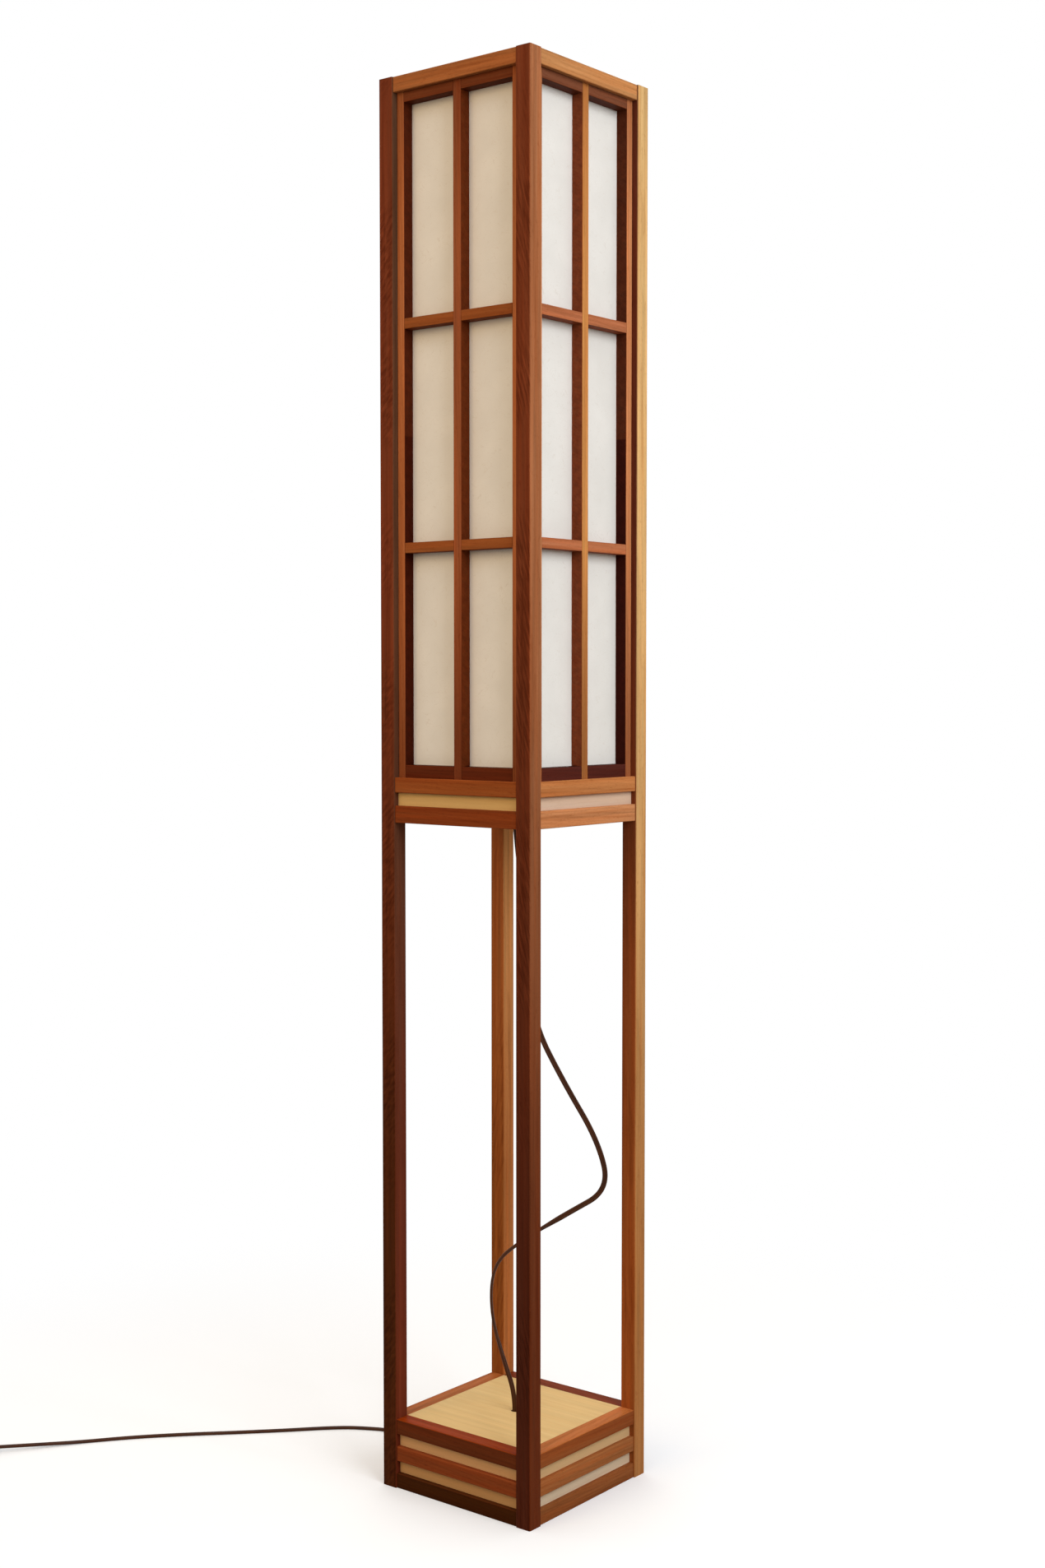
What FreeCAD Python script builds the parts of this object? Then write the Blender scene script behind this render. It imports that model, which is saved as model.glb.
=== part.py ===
import FreeCAD, Part
import math
import os

# An andon floor lamp in millimetres: a lantern of four shoji panels in an open
# frame of four posts, over a low boxed base. The origin is the middle of its
# foot, +Z is up and the front faces -Y. What repeats on the four sides is
# made once, for the front, and turned round the lamp's axis.

# Frame
lamp_height = 1524.0
lamp_width = 206.0
post_side = 19.0
post_arris = 1.5

# Rails between the posts
rail_recess = 1.2
rail_thick = 5.8
rail_height = 16.3
rail_spacing = 13.65
rail_arris = 1.0
tenon_length = 8.0
tenon_thick = 3.0
tenon_shoulder = 2.0

# Apron that carries the lantern
apron_foot = 731.0
apron_lower_height = 18.5
apron_spacing = 14.1

# Boards and cleats
board_floor_gap = 2.0
deck_thick = 9.0
deck_play = 0.3
deck_hole = 8.0
cleat_side = 12.0
cleat_inset = 3.0
ballast_gap = 9.0
ballast_thick = 8.0

# Wood screws, all alike
screw_length = 16.0
screw_shank = 3.0
screw_head = 6.0
screw_head_height = 2.0
cleat_screw_inset = 30.0
ballast_screw_inset = 12.0

# Shoji panels
panel_play = 0.3
panel_depth = 14.0
panel_lap_foot = 5.7
panel_lap_top = 8.7
panel_rail_height = 19.4
stile_width = 9.7
upright_width = 10.6
cross_bar_height = 11.15
panel_rows = 3
mitre_gap = 0.6
paper_thick = 0.4
paper_margin = 3.2

# Threaded stem with its nuts and washers
stem_length = 200.0
stem_below = 10.0
stem_diameter = 10.0
stem_bore = 7.0
nut_flats = 14.0
nut_height = 3.0
washer_diameter = 20.0
washer_thick = 1.2

# Lampholder
neck_diameter = 14.0
neck_length = 8.0
holder_rise = 8.0
holder_skirt = 9.0
holder_diameter = 32.6
holder_height = 44.0
holder_wall = 0.8
holder_cap_wall = 1.0
holder_play = 0.1
holder_seat = 4.4
liner_thick = 0.8
block_height = 15.0
contact_diameter = 8.0
contact_height = 1.0
screw_shell_bore = 26.7
screw_shell_wall = 0.4
screw_shell_height = 25.0

# Bulb
bulb_diameter = 60.0
bulb_length = 86.0
bulb_neck_diameter = 26.0
bulb_neck_curve = 40.0
bulb_glass_thick = 0.8
bulb_cap_height = 24.0
bulb_cap_taper = 4.0
bulb_tip_diameter = 9.0
bulb_tip_height = 2.0

# Cord: its round outer size, and the route inside the base
cord_diameter = 6.0
cord_bend = 40.0
bore_play = 0.1
clip_inset = 22.0
clip_length = 12.0
clip_width = 24.0
clip_cover = 3.0

# Tapered bushing in the cable board
bushing_barrel = 9.2
bushing_flange = 13.0
bushing_flange_thick = 2.0
bushing_boot = 20.0
bushing_boot_root = 10.4
bushing_boot_end = 7.8

# In-line switch
switch_length = 60.0
switch_width = 24.0
switch_height = 14.0
switch_wall = 1.8
switch_corner = 6.0
switch_edge = 1.5
switch_parting = 6.5
cord_entry = 5.0
rocker_radius = 8.3
rocker_width = 10.0
rocker_axis_height = 9.0
rocker_depth = 3.0
rocker_valley = 5.2
rocker_tilt = 7.0
rocker_play = 0.3
axle_diameter = 2.4
axle_length = 1.7
cheek_thick = 1.8
cheek_length = 8.0
contact_strip_length = 18.0
contact_strip_width = 6.0
contact_strip_thick = 0.8
boss_diameter = 6.0
boss_place = 48.0
boss_offset = 6.8
boss_screw_diameter = 2.4
boss_screw_head = 4.4
boss_screw_head_height = 1.0

# Coil of lead by the plug
coil_turns = 5.3976
coil_pitch = 6.5
coil_inner_radius = 26.3
coil_layer_rise = 6.5
coil_lead_in = 40.0
coil_lead_out = 17.0
coil_steps = 22
coil_climb_share = 1.7

# Plug
plug_length = 24.0
plug_width = 22.0
plug_height = 15.0
plug_corner = 4.0
plug_edge = 1.5
plug_tail = 20.0
plug_tail_end = 7.6
plug_tail_root = 12.0
blade_length = 17.0
blade_width = 6.3
blade_thick = 1.5
blade_spacing = 12.7

# Routes of the two free stretches of cord, point by point
hanging_route = [
    (0, 0, 736),
    (0, 0, 700),
    (2, -2, 645),
    (10, -1, 578),
    (22, 6, 510),
    (46, 28, 445),
    (73, 56, 378),
    (78, 70, 322),
    (40, 43, 295),
    (2, 12, 266),
    (-20, -10, 229),
    (-24, -17, 174),
    (-11, -8, 124),
    (0, 0, 96),
    (0, 0, 76.2),
]
lead_route = [
    (-103, 0, 23.125),
    (-132, 0, 23.125),
    (-161, 6, 15.5),
    (-178, 14, 7),
    (-194, 18.5, 3),
    (-210, 17.5, 3),
    (-228, 8.3, 3),
    (-250, -5, 3),
    (-273, -27, 3),
    (-301, -58, 3),
    (-342, -100, 3),
    (-386, -143, 3),
    (-426, -187, 3),
    (-460, -233, 3),
    (-491, -282, 6.5),
    (-519.2, -319.6, 6.5),
]

# Share of the shorter run that an arc of a cord's route takes up
arc_share = 0.45
# Share of an edge's length along an axis, from which it counts as along it
along_share = 0.9
# How far a cut runs past what it cuts
overrun = 1.0
# Turns smaller than this, in radians, are taken as straight
straight_turn = 1e-6

# Places that follow from the sizes above
half_width = lamp_width / 2
inner_half = half_width - post_side
rail_back = rail_recess + rail_thick
rail_rise = rail_height + rail_spacing
base_height = 2 * rail_rise + rail_height
apron_upper_foot = apron_foot + apron_lower_height + apron_spacing
apron_top = apron_upper_foot + rail_height
panel_foot = apron_top - panel_lap_foot
panel_top = lamp_height - rail_height + panel_lap_top
lantern_deck_foot = apron_foot + cleat_inset + cleat_side
lantern_deck_top = lantern_deck_foot + deck_thick
base_deck_foot = base_height - deck_thick
base_cleat_foot = base_deck_foot - cleat_side
base_floor_top = board_floor_gap + deck_thick
ballast_top = base_floor_top + ballast_thick
base_rail_feet = [0, rail_rise, 2 * rail_rise]
cord_exit_height = rail_height + rail_spacing / 2
cord_radius = cord_diameter / 2
stem_foot = lantern_deck_foot - stem_below
stem_top = stem_foot + stem_length

SIDES = ["front", "right", "back", "left"]
UP = FreeCAD.Vector(0, 0, 1)
nodes = {}


def vec(x, y, z):
    return FreeCAD.Vector(x, y, z)


def box(low, high):
    size = [b - a for a, b in zip(low, high)]
    return Part.makeBox(size[0], size[1], size[2], vec(*low))


def cylinder(radius, length, foot, direction=UP):
    return Part.makeCylinder(radius, length, foot, direction)


def turned(shape, side):
    copy = shape.copy()
    copy.rotate(vec(0, 0, 0), UP, 90 * SIDES.index(side))
    return copy


def all_round(shape):
    return [turned(shape, side) for side in SIDES]


def group(solids):
    return Part.makeCompound(solids)


def edges_along(shape, axis, test):
    found = []
    for edge in shape.Edges:
        a, b = [v.Point for v in edge.Vertexes]
        run = b - a
        if abs(run[axis]) > run.Length * along_share and test((a + b) / 2):
            found.append(edge)
    return found


def rim_edges(shape, height):
    # The edges that lie level at this height.
    near = overrun / 2
    return [edge for edge in shape.Edges if all(abs(v.Z - height) < near for v in edge.Vertexes)]


def lathe(points):
    # Turns an outline of (radius, height) points round the lamp's axis.
    ring = [vec(r, 0, z) for r, z in points]
    face = Part.Face(Part.makePolygon(ring + [ring[0]]))
    return face.revolve(vec(0, 0, 0), UP, 360)


def rounded_block(length, width, foot, height, corner):
    # A block along X from x = 0, centred on Y, with round upright corners.
    block = box((0, -width / 2, foot), (length, width / 2, foot + height))
    return block.makeFillet(corner, edges_along(block, 2, lambda mid: True))


# Posts, mortised for the rails

def tenon(foot, height):
    recess = rail_recess + (rail_thick - tenon_thick) / 2
    low = (inner_half, -half_width + recess, foot + tenon_shoulder)
    high = (
        inner_half + tenon_length,
        -half_width + recess + tenon_thick,
        foot + height - tenon_shoulder,
    )
    return box(low, high)


RAIL_PLACES = [(foot, rail_height) for foot in base_rail_feet] + [
    (apron_foot, apron_lower_height),
    (apron_upper_foot, rail_height),
    (lamp_height - rail_height, rail_height),
]


def mirrored(shape):
    return shape.mirror(vec(0, 0, 0), vec(1, 0, 0))


def make_post():
    post = box((inner_half, -half_width, 0), (half_width, -inner_half, lamp_height))
    post = post.makeFillet(post_arris, edges_along(post, 2, lambda mid: True))
    for foot, height in RAIL_PLACES:
        slot = tenon(foot, height)
        post = post.cut(slot)
        post = post.cut(turned(mirrored(slot), "right"))
    return post


post = make_post()
for name, side in [
    ("post_front_right", "front"),
    ("post_back_right", "right"),
    ("post_back_left", "back"),
    ("post_front_left", "left"),
]:
    nodes[name] = turned(post, side)


# Rails

def make_rail(foot, height, depth):
    # The four edges round its front face are eased.
    near = rail_arris / 2
    front = -half_width + rail_recess
    rail = box((-inner_half, front, foot), (inner_half, front + depth, foot + height))
    on_front = [edge for axis in (0, 2) for edge in edges_along(rail, axis, lambda mid: mid.y < front + near)]
    rail = rail.makeFillet(rail_arris, on_front)
    peg = tenon(foot, height)
    return rail.fuse([peg, mirrored(peg)]).removeSplitter()


for side in SIDES:
    rail = make_rail(lamp_height - rail_height, rail_height, rail_thick)
    nodes["top_rail_" + side] = turned(rail, side)

nodes["apron_upper_rails"] = group(all_round(make_rail(apron_upper_foot, rail_height, rail_thick)))
nodes["apron_lower_rails"] = group(all_round(make_rail(apron_foot, apron_lower_height, rail_thick)))
nodes["base_bottom_rails"] = group(all_round(make_rail(base_rail_feet[0], rail_height, rail_thick)))
nodes["base_middle_rails"] = group(all_round(make_rail(base_rail_feet[1], rail_height, rail_thick)))
deep = post_side - rail_recess
nodes["base_top_rails"] = group(all_round(make_rail(base_rail_feet[2], rail_height, deep)))


# Screws: each is made on the axis, head at the foot, and then set in place

def make_screw():
    head = cylinder(screw_head / 2, screw_head_height, vec(0, 0, -screw_head_height))
    shank = cylinder(screw_shank / 2, screw_length, vec(0, 0, 0))
    return head.fuse(shank)


def placed(shape, point, rotation):
    copy = shape.copy()
    copy.Placement = FreeCAD.Placement(point, rotation)
    return copy


INTO_FRONT = FreeCAD.Rotation(UP, vec(0, -1, 0))
DOWN = FreeCAD.Rotation(vec(1, 0, 0), 180)


def cleat_screw_places(foot):
    middle = foot + cleat_side / 2
    if foot == base_cleat_foot:
        middle = foot + (base_rail_feet[2] - foot) / 2
    reach = inner_half - cleat_screw_inset
    return [vec(x, -inner_half + cleat_side, middle) for x in (-reach, reach)]


def screw_hole(point, direction):
    return cylinder(screw_shank / 2, screw_length, point, direction)


# Boards behind the rails, and cleats on them

def make_side_board(foot, top, cleat_foot):
    board = box((-inner_half, -half_width + rail_back, foot), (inner_half, -inner_half, top))
    if cleat_foot is not None:
        for point in cleat_screw_places(cleat_foot):
            board = board.cut(screw_hole(point, vec(0, -1, 0)))
    return board


def make_cleat(foot):
    reach = inner_half - deck_play
    cleat = box((-reach, -inner_half, foot), (reach, -inner_half + cleat_side, foot + cleat_side))
    for point in cleat_screw_places(foot):
        cleat = cleat.cut(screw_hole(point, vec(0, -1, 0)))
    return cleat


def front_and_back(shape):
    return [turned(shape, side) for side in ("front", "back")]


apron_cleat_foot = apron_foot + cleat_inset
plain_apron = make_side_board(apron_foot, panel_foot, None)
drilled_apron = make_side_board(apron_foot, panel_foot, apron_cleat_foot)
nodes["apron_boards"] = group(
    front_and_back(drilled_apron) + [turned(plain_apron, side) for side in ("right", "left")]
)
nodes["lantern_cleats"] = group(front_and_back(make_cleat(apron_cleat_foot)))

base_board_top = base_rail_feet[2]
plain_base = make_side_board(board_floor_gap, base_board_top, None)
drilled_base = make_side_board(board_floor_gap, base_board_top, base_cleat_foot)
nodes["base_side_boards"] = group(front_and_back(drilled_base) + [turned(plain_base, "right")])
nodes["base_cleats"] = group(front_and_back(make_cleat(base_cleat_foot)))

cable_board = turned(plain_base, "left")
cable_hole = cylinder(
    bushing_barrel / 2,
    post_side + overrun,
    vec(-inner_half + overrun / 2, 0, cord_exit_height),
    vec(-1, 0, 0),
)
nodes["base_cable_board"] = cable_board.cut(cable_hole)


def make_deck(foot, hole, play):
    reach = inner_half - play
    deck = box((-reach, -reach, foot), (reach, reach, foot + deck_thick))
    if hole:
        deck = deck.cut(cylinder(hole / 2, deck_thick + 2 * overrun, vec(0, 0, foot - overrun)))
    return deck


nodes["base_top_board"] = make_deck(base_deck_foot, deck_hole, deck_play)
nodes["lantern_floor_board"] = make_deck(lantern_deck_foot, stem_diameter, deck_play)

# Ballast plate, screwed down on the base's floor board

ballast_reach = inner_half - ballast_gap
screw_reach = ballast_reach - ballast_screw_inset
base_floor = make_deck(board_floor_gap, 0, 0)
ballast = box((-ballast_reach, -ballast_reach, base_floor_top), (ballast_reach, ballast_reach, ballast_top))
ballast_screws = []
for x in (-screw_reach, screw_reach):
    for y in (-screw_reach, screw_reach):
        point = vec(x, y, ballast_top)
        hole = screw_hole(point, vec(0, 0, -1))
        base_floor = base_floor.cut(hole)
        ballast = ballast.cut(hole)
        ballast_screws.append(placed(make_screw(), point, DOWN))
nodes["base_floor_board"] = base_floor
nodes["ballast_plate"] = ballast

cleat_screws = []
for foot in (apron_cleat_foot, base_cleat_foot):
    for point in cleat_screw_places(foot):
        screw = placed(make_screw(), point, INTO_FRONT)
        cleat_screws += front_and_back(screw)
nodes["wood_screws"] = group(ballast_screws + cleat_screws)


# Shoji panels: frame, lattice and paper

panel_half = inner_half - panel_play
panel_front = -half_width + rail_back + panel_play
panel_back = panel_front + panel_depth
opening_half = panel_half - stile_width
pane_foot = panel_foot + panel_rail_height
pane_top = panel_top - panel_rail_height
pane_height = (pane_top - pane_foot - (panel_rows - 1) * cross_bar_height) / panel_rows
bar_feet = [pane_foot + row * (pane_height + cross_bar_height) - cross_bar_height for row in range(1, panel_rows)]
upright_half = upright_width / 2
panel_middle = panel_front + panel_depth / 2


def make_stile():
    # The back corner is bevelled, so that neighbouring panels lock each other.
    bevel = panel_half + panel_back + mitre_gap / math.sqrt(2)
    corners = [
        vec(opening_half, panel_front, panel_foot),
        vec(panel_half, panel_front, panel_foot),
        vec(panel_half, panel_back - bevel, panel_foot),
        vec(panel_half - bevel, panel_back, panel_foot),
        vec(opening_half, panel_back, panel_foot),
    ]
    face = Part.Face(Part.makePolygon(corners + [corners[0]]))
    return face.extrude(vec(0, 0, panel_top - panel_foot))


def make_lying_stick(foot, height):
    # It gives up its front half where the upright crosses it.
    top = foot + height
    stick = box((-opening_half, panel_front, foot), (opening_half, panel_back, top))
    return stick.cut(box((-upright_half, panel_front - overrun, foot), (upright_half, panel_middle, top)))


def make_upright():
    # It stands the full height of the panel and gives up its back half at each rail and bar.
    upright = box((-upright_half, panel_front, panel_foot), (upright_half, panel_back, panel_top))
    crossings = [(foot, cross_bar_height) for foot in bar_feet]
    crossings += [(foot, panel_rail_height) for foot in (panel_foot, pane_top)]
    for foot, height in crossings:
        low = (-upright_half, panel_middle, foot)
        upright = upright.cut(box(low, (upright_half, panel_back + overrun, foot + height)))
    return upright


def make_paper():
    reach = panel_half - paper_margin
    low = (-reach, panel_back, panel_foot + paper_margin)
    return box(low, (reach, panel_back + paper_thick, panel_top - paper_margin))


for side in SIDES:
    stile = make_stile()
    frame = [stile, mirrored(stile)] + [make_lying_stick(foot, panel_rail_height) for foot in (panel_foot, pane_top)]
    lattice = [make_upright()] + [make_lying_stick(foot, cross_bar_height) for foot in bar_feet]
    nodes["shoji_frame_" + side] = group([turned(piece, side) for piece in frame])
    nodes["shoji_lattice_" + side] = group([turned(piece, side) for piece in lattice])
    nodes["shoji_paper_" + side] = turned(make_paper(), side)


# Stem, clamped to the lantern's floor by a nut and a washer on each side

def make_nut(foot):
    corner = nut_flats / math.sqrt(3)
    ring = [vec(corner * math.cos(a), corner * math.sin(a), foot) for a in
            [math.radians(60 * k) for k in range(6)]]
    nut = Part.Face(Part.makePolygon(ring + [ring[0]])).extrude(vec(0, 0, nut_height))
    return nut.cut(cylinder(stem_diameter / 2, nut_height + 2 * overrun, vec(0, 0, foot - overrun)))


def make_ring(foot, height, outer, inner):
    return lathe([(inner / 2, foot), (outer / 2, foot), (outer / 2, foot + height), (inner / 2, foot + height)])


nodes["lamp_stem"] = make_ring(stem_foot, stem_length, stem_diameter, stem_bore)
lower_washer = lantern_deck_foot - washer_thick
upper_nut = lantern_deck_top + washer_thick
nodes["stem_nuts"] = group([
    make_nut(lower_washer - nut_height),
    make_ring(lower_washer, washer_thick, washer_diameter, stem_diameter),
    make_ring(lantern_deck_top, washer_thick, washer_diameter, stem_diameter),
    make_nut(upper_nut),
])

# Lampholder, on top of the stem

seat = stem_top + holder_rise
cap_inner = holder_diameter / 2 + holder_play
cap_outer = cap_inner + holder_cap_wall
seat_inner = cap_inner - holder_seat
nodes["lampholder_cap"] = lathe([
    (stem_diameter / 2, stem_top - neck_length),
    (neck_diameter / 2, stem_top - neck_length),
    (neck_diameter / 2, stem_top),
    (cap_outer, seat - holder_cap_wall),
    (cap_outer, seat + holder_skirt),
    (cap_inner, seat + holder_skirt),
    (cap_inner, seat),
    (seat_inner, seat),
    (stem_diameter / 2, stem_top + holder_cap_wall),
])
liner_outer = holder_diameter - 2 * holder_wall
liner_inner = liner_outer - 2 * liner_thick
nodes["lampholder_shell"] = make_ring(seat, holder_height, holder_diameter, liner_outer)
nodes["lampholder_liner"] = make_ring(seat, holder_height - 2 * holder_wall, liner_outer, liner_inner)
block_top = seat + block_height
nodes["lampholder_block"] = cylinder(liner_inner / 2, block_height, vec(0, 0, seat))
nodes["lampholder_contact"] = cylinder(contact_diameter / 2, contact_height, vec(0, 0, block_top))
nodes["lampholder_screw_shell"] = make_ring(
    block_top, screw_shell_height, screw_shell_bore + 2 * screw_shell_wall, screw_shell_bore
)

# Bulb, standing on the contact

bulb_foot = block_top + contact_height
bulb_seat = bulb_foot + bulb_tip_height + bulb_cap_height
neck_radius = bulb_neck_diameter / 2
tip_radius = bulb_tip_diameter / 2
nodes["bulb_cap"] = lathe([
    (0, bulb_foot),
    (tip_radius, bulb_foot),
    (tip_radius, bulb_foot + bulb_tip_height),
    (neck_radius, bulb_foot + bulb_tip_height + bulb_cap_taper),
    (neck_radius, bulb_seat),
    (0, bulb_seat),
])


def bulb_outline(inset):
    # Neck, hollow curve and round of the glass, moved inwards by inset.
    ball = bulb_diameter / 2 - inset
    hollow = bulb_neck_curve + inset
    middle = bulb_seat + bulb_length - bulb_diameter / 2
    neck = neck_radius - inset
    side = neck + hollow
    drop = math.sqrt((ball + hollow) ** 2 - side ** 2)
    slant = math.atan2(side, drop)
    turn = (math.pi / 2 - slant) / 2
    rise = (math.pi + slant) / 2
    foot = vec(neck, 0, bulb_seat)
    neck_top = vec(neck, 0, middle - drop)
    waist = vec(side - hollow * math.cos(turn), 0, middle - drop + hollow * math.sin(turn))
    meeting = vec(ball * math.sin(slant), 0, middle - ball * math.cos(slant))
    belly = vec(ball * math.sin(rise), 0, middle - ball * math.cos(rise))
    crown = vec(0, 0, middle + ball)
    return [
        Part.LineSegment(foot, neck_top).toShape(),
        Part.Arc(neck_top, waist, meeting).toShape(),
        Part.Arc(meeting, belly, crown).toShape(),
    ]


def make_glass():
    outer = bulb_outline(0)
    inner = bulb_outline(bulb_glass_thick)
    foot = Part.LineSegment(inner[0].Vertexes[0].Point, outer[0].Vertexes[0].Point).toShape()
    crown = Part.LineSegment(outer[2].Vertexes[1].Point, inner[2].Vertexes[1].Point).toShape()
    wire = Part.Wire(Part.__sortEdges__(outer + inner + [foot, crown]))
    return Part.Face(wire).revolve(vec(0, 0, 0), UP, 360)


nodes["bulb_glass"] = make_glass()


# Cords: round tubes along straight runs joined by tangent arcs

def tube_along(edges, diameter, start, direction):
    ring = Part.Wire(Part.makeCircle(diameter / 2, start, direction))
    return Part.Wire(edges).makePipeShell([ring], True, False)


def joined_by_arcs(points):
    points = [vec(*point) for point in points]
    edges = []
    radii = []
    here = points[0]
    for before, corner, after in zip(points, points[1:], points[2:]):
        come = (corner - before).normalize()
        go = (after - corner).normalize()
        turn = come.getAngle(go)
        run = min((corner - before).Length, (after - corner).Length)
        cut = arc_share * run
        radius = cut / math.tan(turn / 2)
        inward = (go - come).normalize()
        middle = corner + inward * (radius / math.cos(turn / 2) - radius)
        start = corner - come * cut
        end = corner + go * cut
        edges.append(Part.LineSegment(here, start).toShape())
        edges.append(Part.Arc(start, middle, end).toShape())
        radii.append(radius)
        here = end
    edges.append(Part.LineSegment(here, points[-1]).toShape())
    return edges, radii


def make_cord(name, points):
    edges, radii = joined_by_arcs(points)
    start = vec(*points[0])
    tube = tube_along(edges, cord_diameter, start, vec(*points[1]) - start)
    length = sum(edge.Length for edge in edges)
    share = tube.Volume / (math.pi * cord_radius ** 2 * length)
    print(name, "length", round(length, 1), "volume share", round(share, 4))
    print("  radii", [round(radius) for radius in radii])
    return tube


nodes["hanging_cord"] = make_cord("hanging_cord", hanging_route)
nodes["lead"] = make_cord("lead", lead_route)
nodes["cord_in_stem"] = cylinder(cord_radius, seat - stem_foot, vec(0, 0, stem_foot))


def make_base_cord():
    # Down from the base's top board, and out through the bushing as far as the posts' faces.
    top = vec(0, 0, base_height)
    bend_top = vec(0, 0, cord_exit_height + cord_bend)
    fold = cord_bend * (1 - math.sqrt(0.5))
    bend_middle = vec(-fold, 0, cord_exit_height + fold)
    bend_end = vec(-cord_bend, 0, cord_exit_height)
    end = vec(-half_width, 0, cord_exit_height)
    edges = [
        Part.LineSegment(top, bend_top).toShape(),
        Part.Arc(bend_top, bend_middle, bend_end).toShape(),
        Part.LineSegment(bend_end, end).toShape(),
    ]
    return tube_along(edges, cord_diameter, top, vec(0, 0, -1))


board_face = half_width - rail_back
flange_face = board_face + bushing_flange_thick
boot_end = flange_face + bushing_boot
nodes["cord_in_base"] = make_base_cord()


def make_bushing():
    bore = (cord_diameter + bore_play) / 2
    outline = [
        (bore, inner_half),
        (bushing_barrel / 2, inner_half),
        (bushing_barrel / 2, board_face),
        (bushing_flange / 2, board_face),
        (bushing_flange / 2, flange_face),
        (bushing_boot_root / 2, flange_face),
        (bushing_boot_end / 2, boot_end),
        (bore, boot_end),
    ]
    lying = FreeCAD.Rotation(UP, vec(-1, 0, 0))
    return placed(lathe(outline), vec(0, 0, cord_exit_height), lying)


nodes["cord_bushing"] = make_bushing()


def make_clip():
    top = cord_exit_height + cord_radius + clip_cover
    middle = clip_inset - inner_half
    low = (middle - clip_length / 2, -clip_width / 2, ballast_top)
    clip = box(low, (middle + clip_length / 2, clip_width / 2, top))
    edges = edges_along(clip, 0, lambda mid: mid.z > top - overrun)
    clip = clip.makeFillet(clip_cover, edges)
    bore = cylinder(
        (cord_diameter + bore_play) / 2,
        clip_length + 2 * overrun,
        vec(low[0] - overrun, 0, cord_exit_height),
        vec(1, 0, 0),
    )
    return clip.cut(bore)


nodes["cord_clip"] = make_clip()


# In-line switch, made along X and then set at the end of the lead

lead_end = vec(*lead_route[-1])
heading = (lead_end - vec(*lead_route[-2])).normalize()
heading_angle = math.degrees(math.atan2(heading.y, heading.x))
switch_start = lead_end - heading * cord_entry
middle_x = switch_length / 2


def at_switch(shape):
    copy = shape.copy()
    foot = vec(switch_start.x, switch_start.y, 0)
    copy.Placement = FreeCAD.Placement(foot, FreeCAD.Rotation(UP, heading_angle))
    return copy


def half_case(foot, height, roof):
    # One half of the case; its hollow is open towards the other half.
    case = rounded_block(switch_length, switch_width, foot, height, switch_corner)
    case = case.makeFillet(switch_edge, rim_edges(case, foot + height if roof else foot))
    inner_length = switch_length - 2 * switch_wall
    hollow_foot = foot if roof else foot + switch_wall
    hollow = rounded_block(
        inner_length, switch_width - 2 * switch_wall, hollow_foot, height - switch_wall,
        switch_corner - switch_wall,
    )
    hollow.translate(vec(switch_wall, 0, 0))
    case = case.cut(hollow)
    bore_radius = (cord_diameter + bore_play) / 2
    bore = cylinder(bore_radius, switch_length + 2 * overrun, vec(-overrun, 0, switch_parting), vec(1, 0, 0))
    return case.cut(bore)


def at_boss(diameter, foot, height):
    return cylinder(diameter / 2, height, vec(boss_place, boss_offset, foot))


def make_switch_screw():
    head = at_boss(boss_screw_head, 0, boss_screw_head_height)
    return head.fuse(at_boss(boss_screw_diameter, 0, switch_height - switch_wall))


def make_switch_base():
    case = half_case(0, switch_parting, False)
    boss = at_boss(boss_diameter, 0, switch_parting)
    case = case.fuse(boss).removeSplitter()
    return case.cut(make_switch_screw())


def rocker_axis(radius, reach):
    return cylinder(radius, 2 * reach, vec(middle_x, -reach, rocker_axis_height), vec(0, 1, 0))


def make_switch_cover():
    upper = switch_height - switch_parting
    case = half_case(switch_parting, upper, True)
    boss = at_boss(boss_diameter, switch_parting, upper - switch_wall)
    well_half = rocker_width / 2 + rocker_play
    ceiling = switch_height - switch_wall
    cheeks = []
    for low in (well_half, -well_half - cheek_thick):
        foot = (middle_x - cheek_length / 2, low, switch_parting)
        cheeks.append(box(foot, (middle_x + cheek_length / 2, low + cheek_thick, ceiling)))
    case = case.fuse([boss] + cheeks).removeSplitter()
    case = case.cut(rocker_axis(rocker_radius + rocker_play, well_half))
    case = case.cut(rocker_axis((axle_diameter + bore_play) / 2, well_half + cheek_thick))
    return case.cut(make_switch_screw())


def make_rocker():
    # A drum on its axle, with a valley across its top and a flat under it.
    half = rocker_width / 2
    drum = rocker_axis(rocker_radius, half)
    slope = math.tan(math.radians(rocker_tilt))
    reach = rocker_radius + overrun
    valley = rocker_axis_height + rocker_valley
    rim = valley + reach * slope
    flat = rocker_axis_height - rocker_depth
    outline = [
        vec(middle_x - reach, -half, flat),
        vec(middle_x + reach, -half, flat),
        vec(middle_x + reach, -half, rim),
        vec(middle_x, -half, valley),
        vec(middle_x - reach, -half, rim),
    ]
    keep = Part.Face(Part.makePolygon(outline + [outline[0]])).extrude(vec(0, rocker_width, 0))
    rocker = drum.common(keep).fuse(rocker_axis(axle_diameter / 2, half + axle_length))
    rocker.rotate(vec(middle_x, 0, rocker_axis_height), vec(0, 1, 0), -rocker_tilt)
    return rocker


def make_contacts():
    strips = []
    for start in (cord_entry + switch_wall, switch_length - cord_entry - switch_wall - contact_strip_length):
        low = (start, -contact_strip_width / 2, switch_wall)
        end = start + contact_strip_length
        strips.append(box(low, (end, contact_strip_width / 2, switch_wall + contact_strip_thick)))
    return strips


nodes["switch_base"] = at_switch(make_switch_base())
nodes["switch_cover"] = at_switch(make_switch_cover())
nodes["switch_rocker"] = at_switch(make_rocker())
nodes["switch_contacts"] = at_switch(group(make_contacts()))
nodes["switch_screw"] = at_switch(make_switch_screw())


# Coil: spirals in on the floor, climbs a layer and spirals out again

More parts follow.
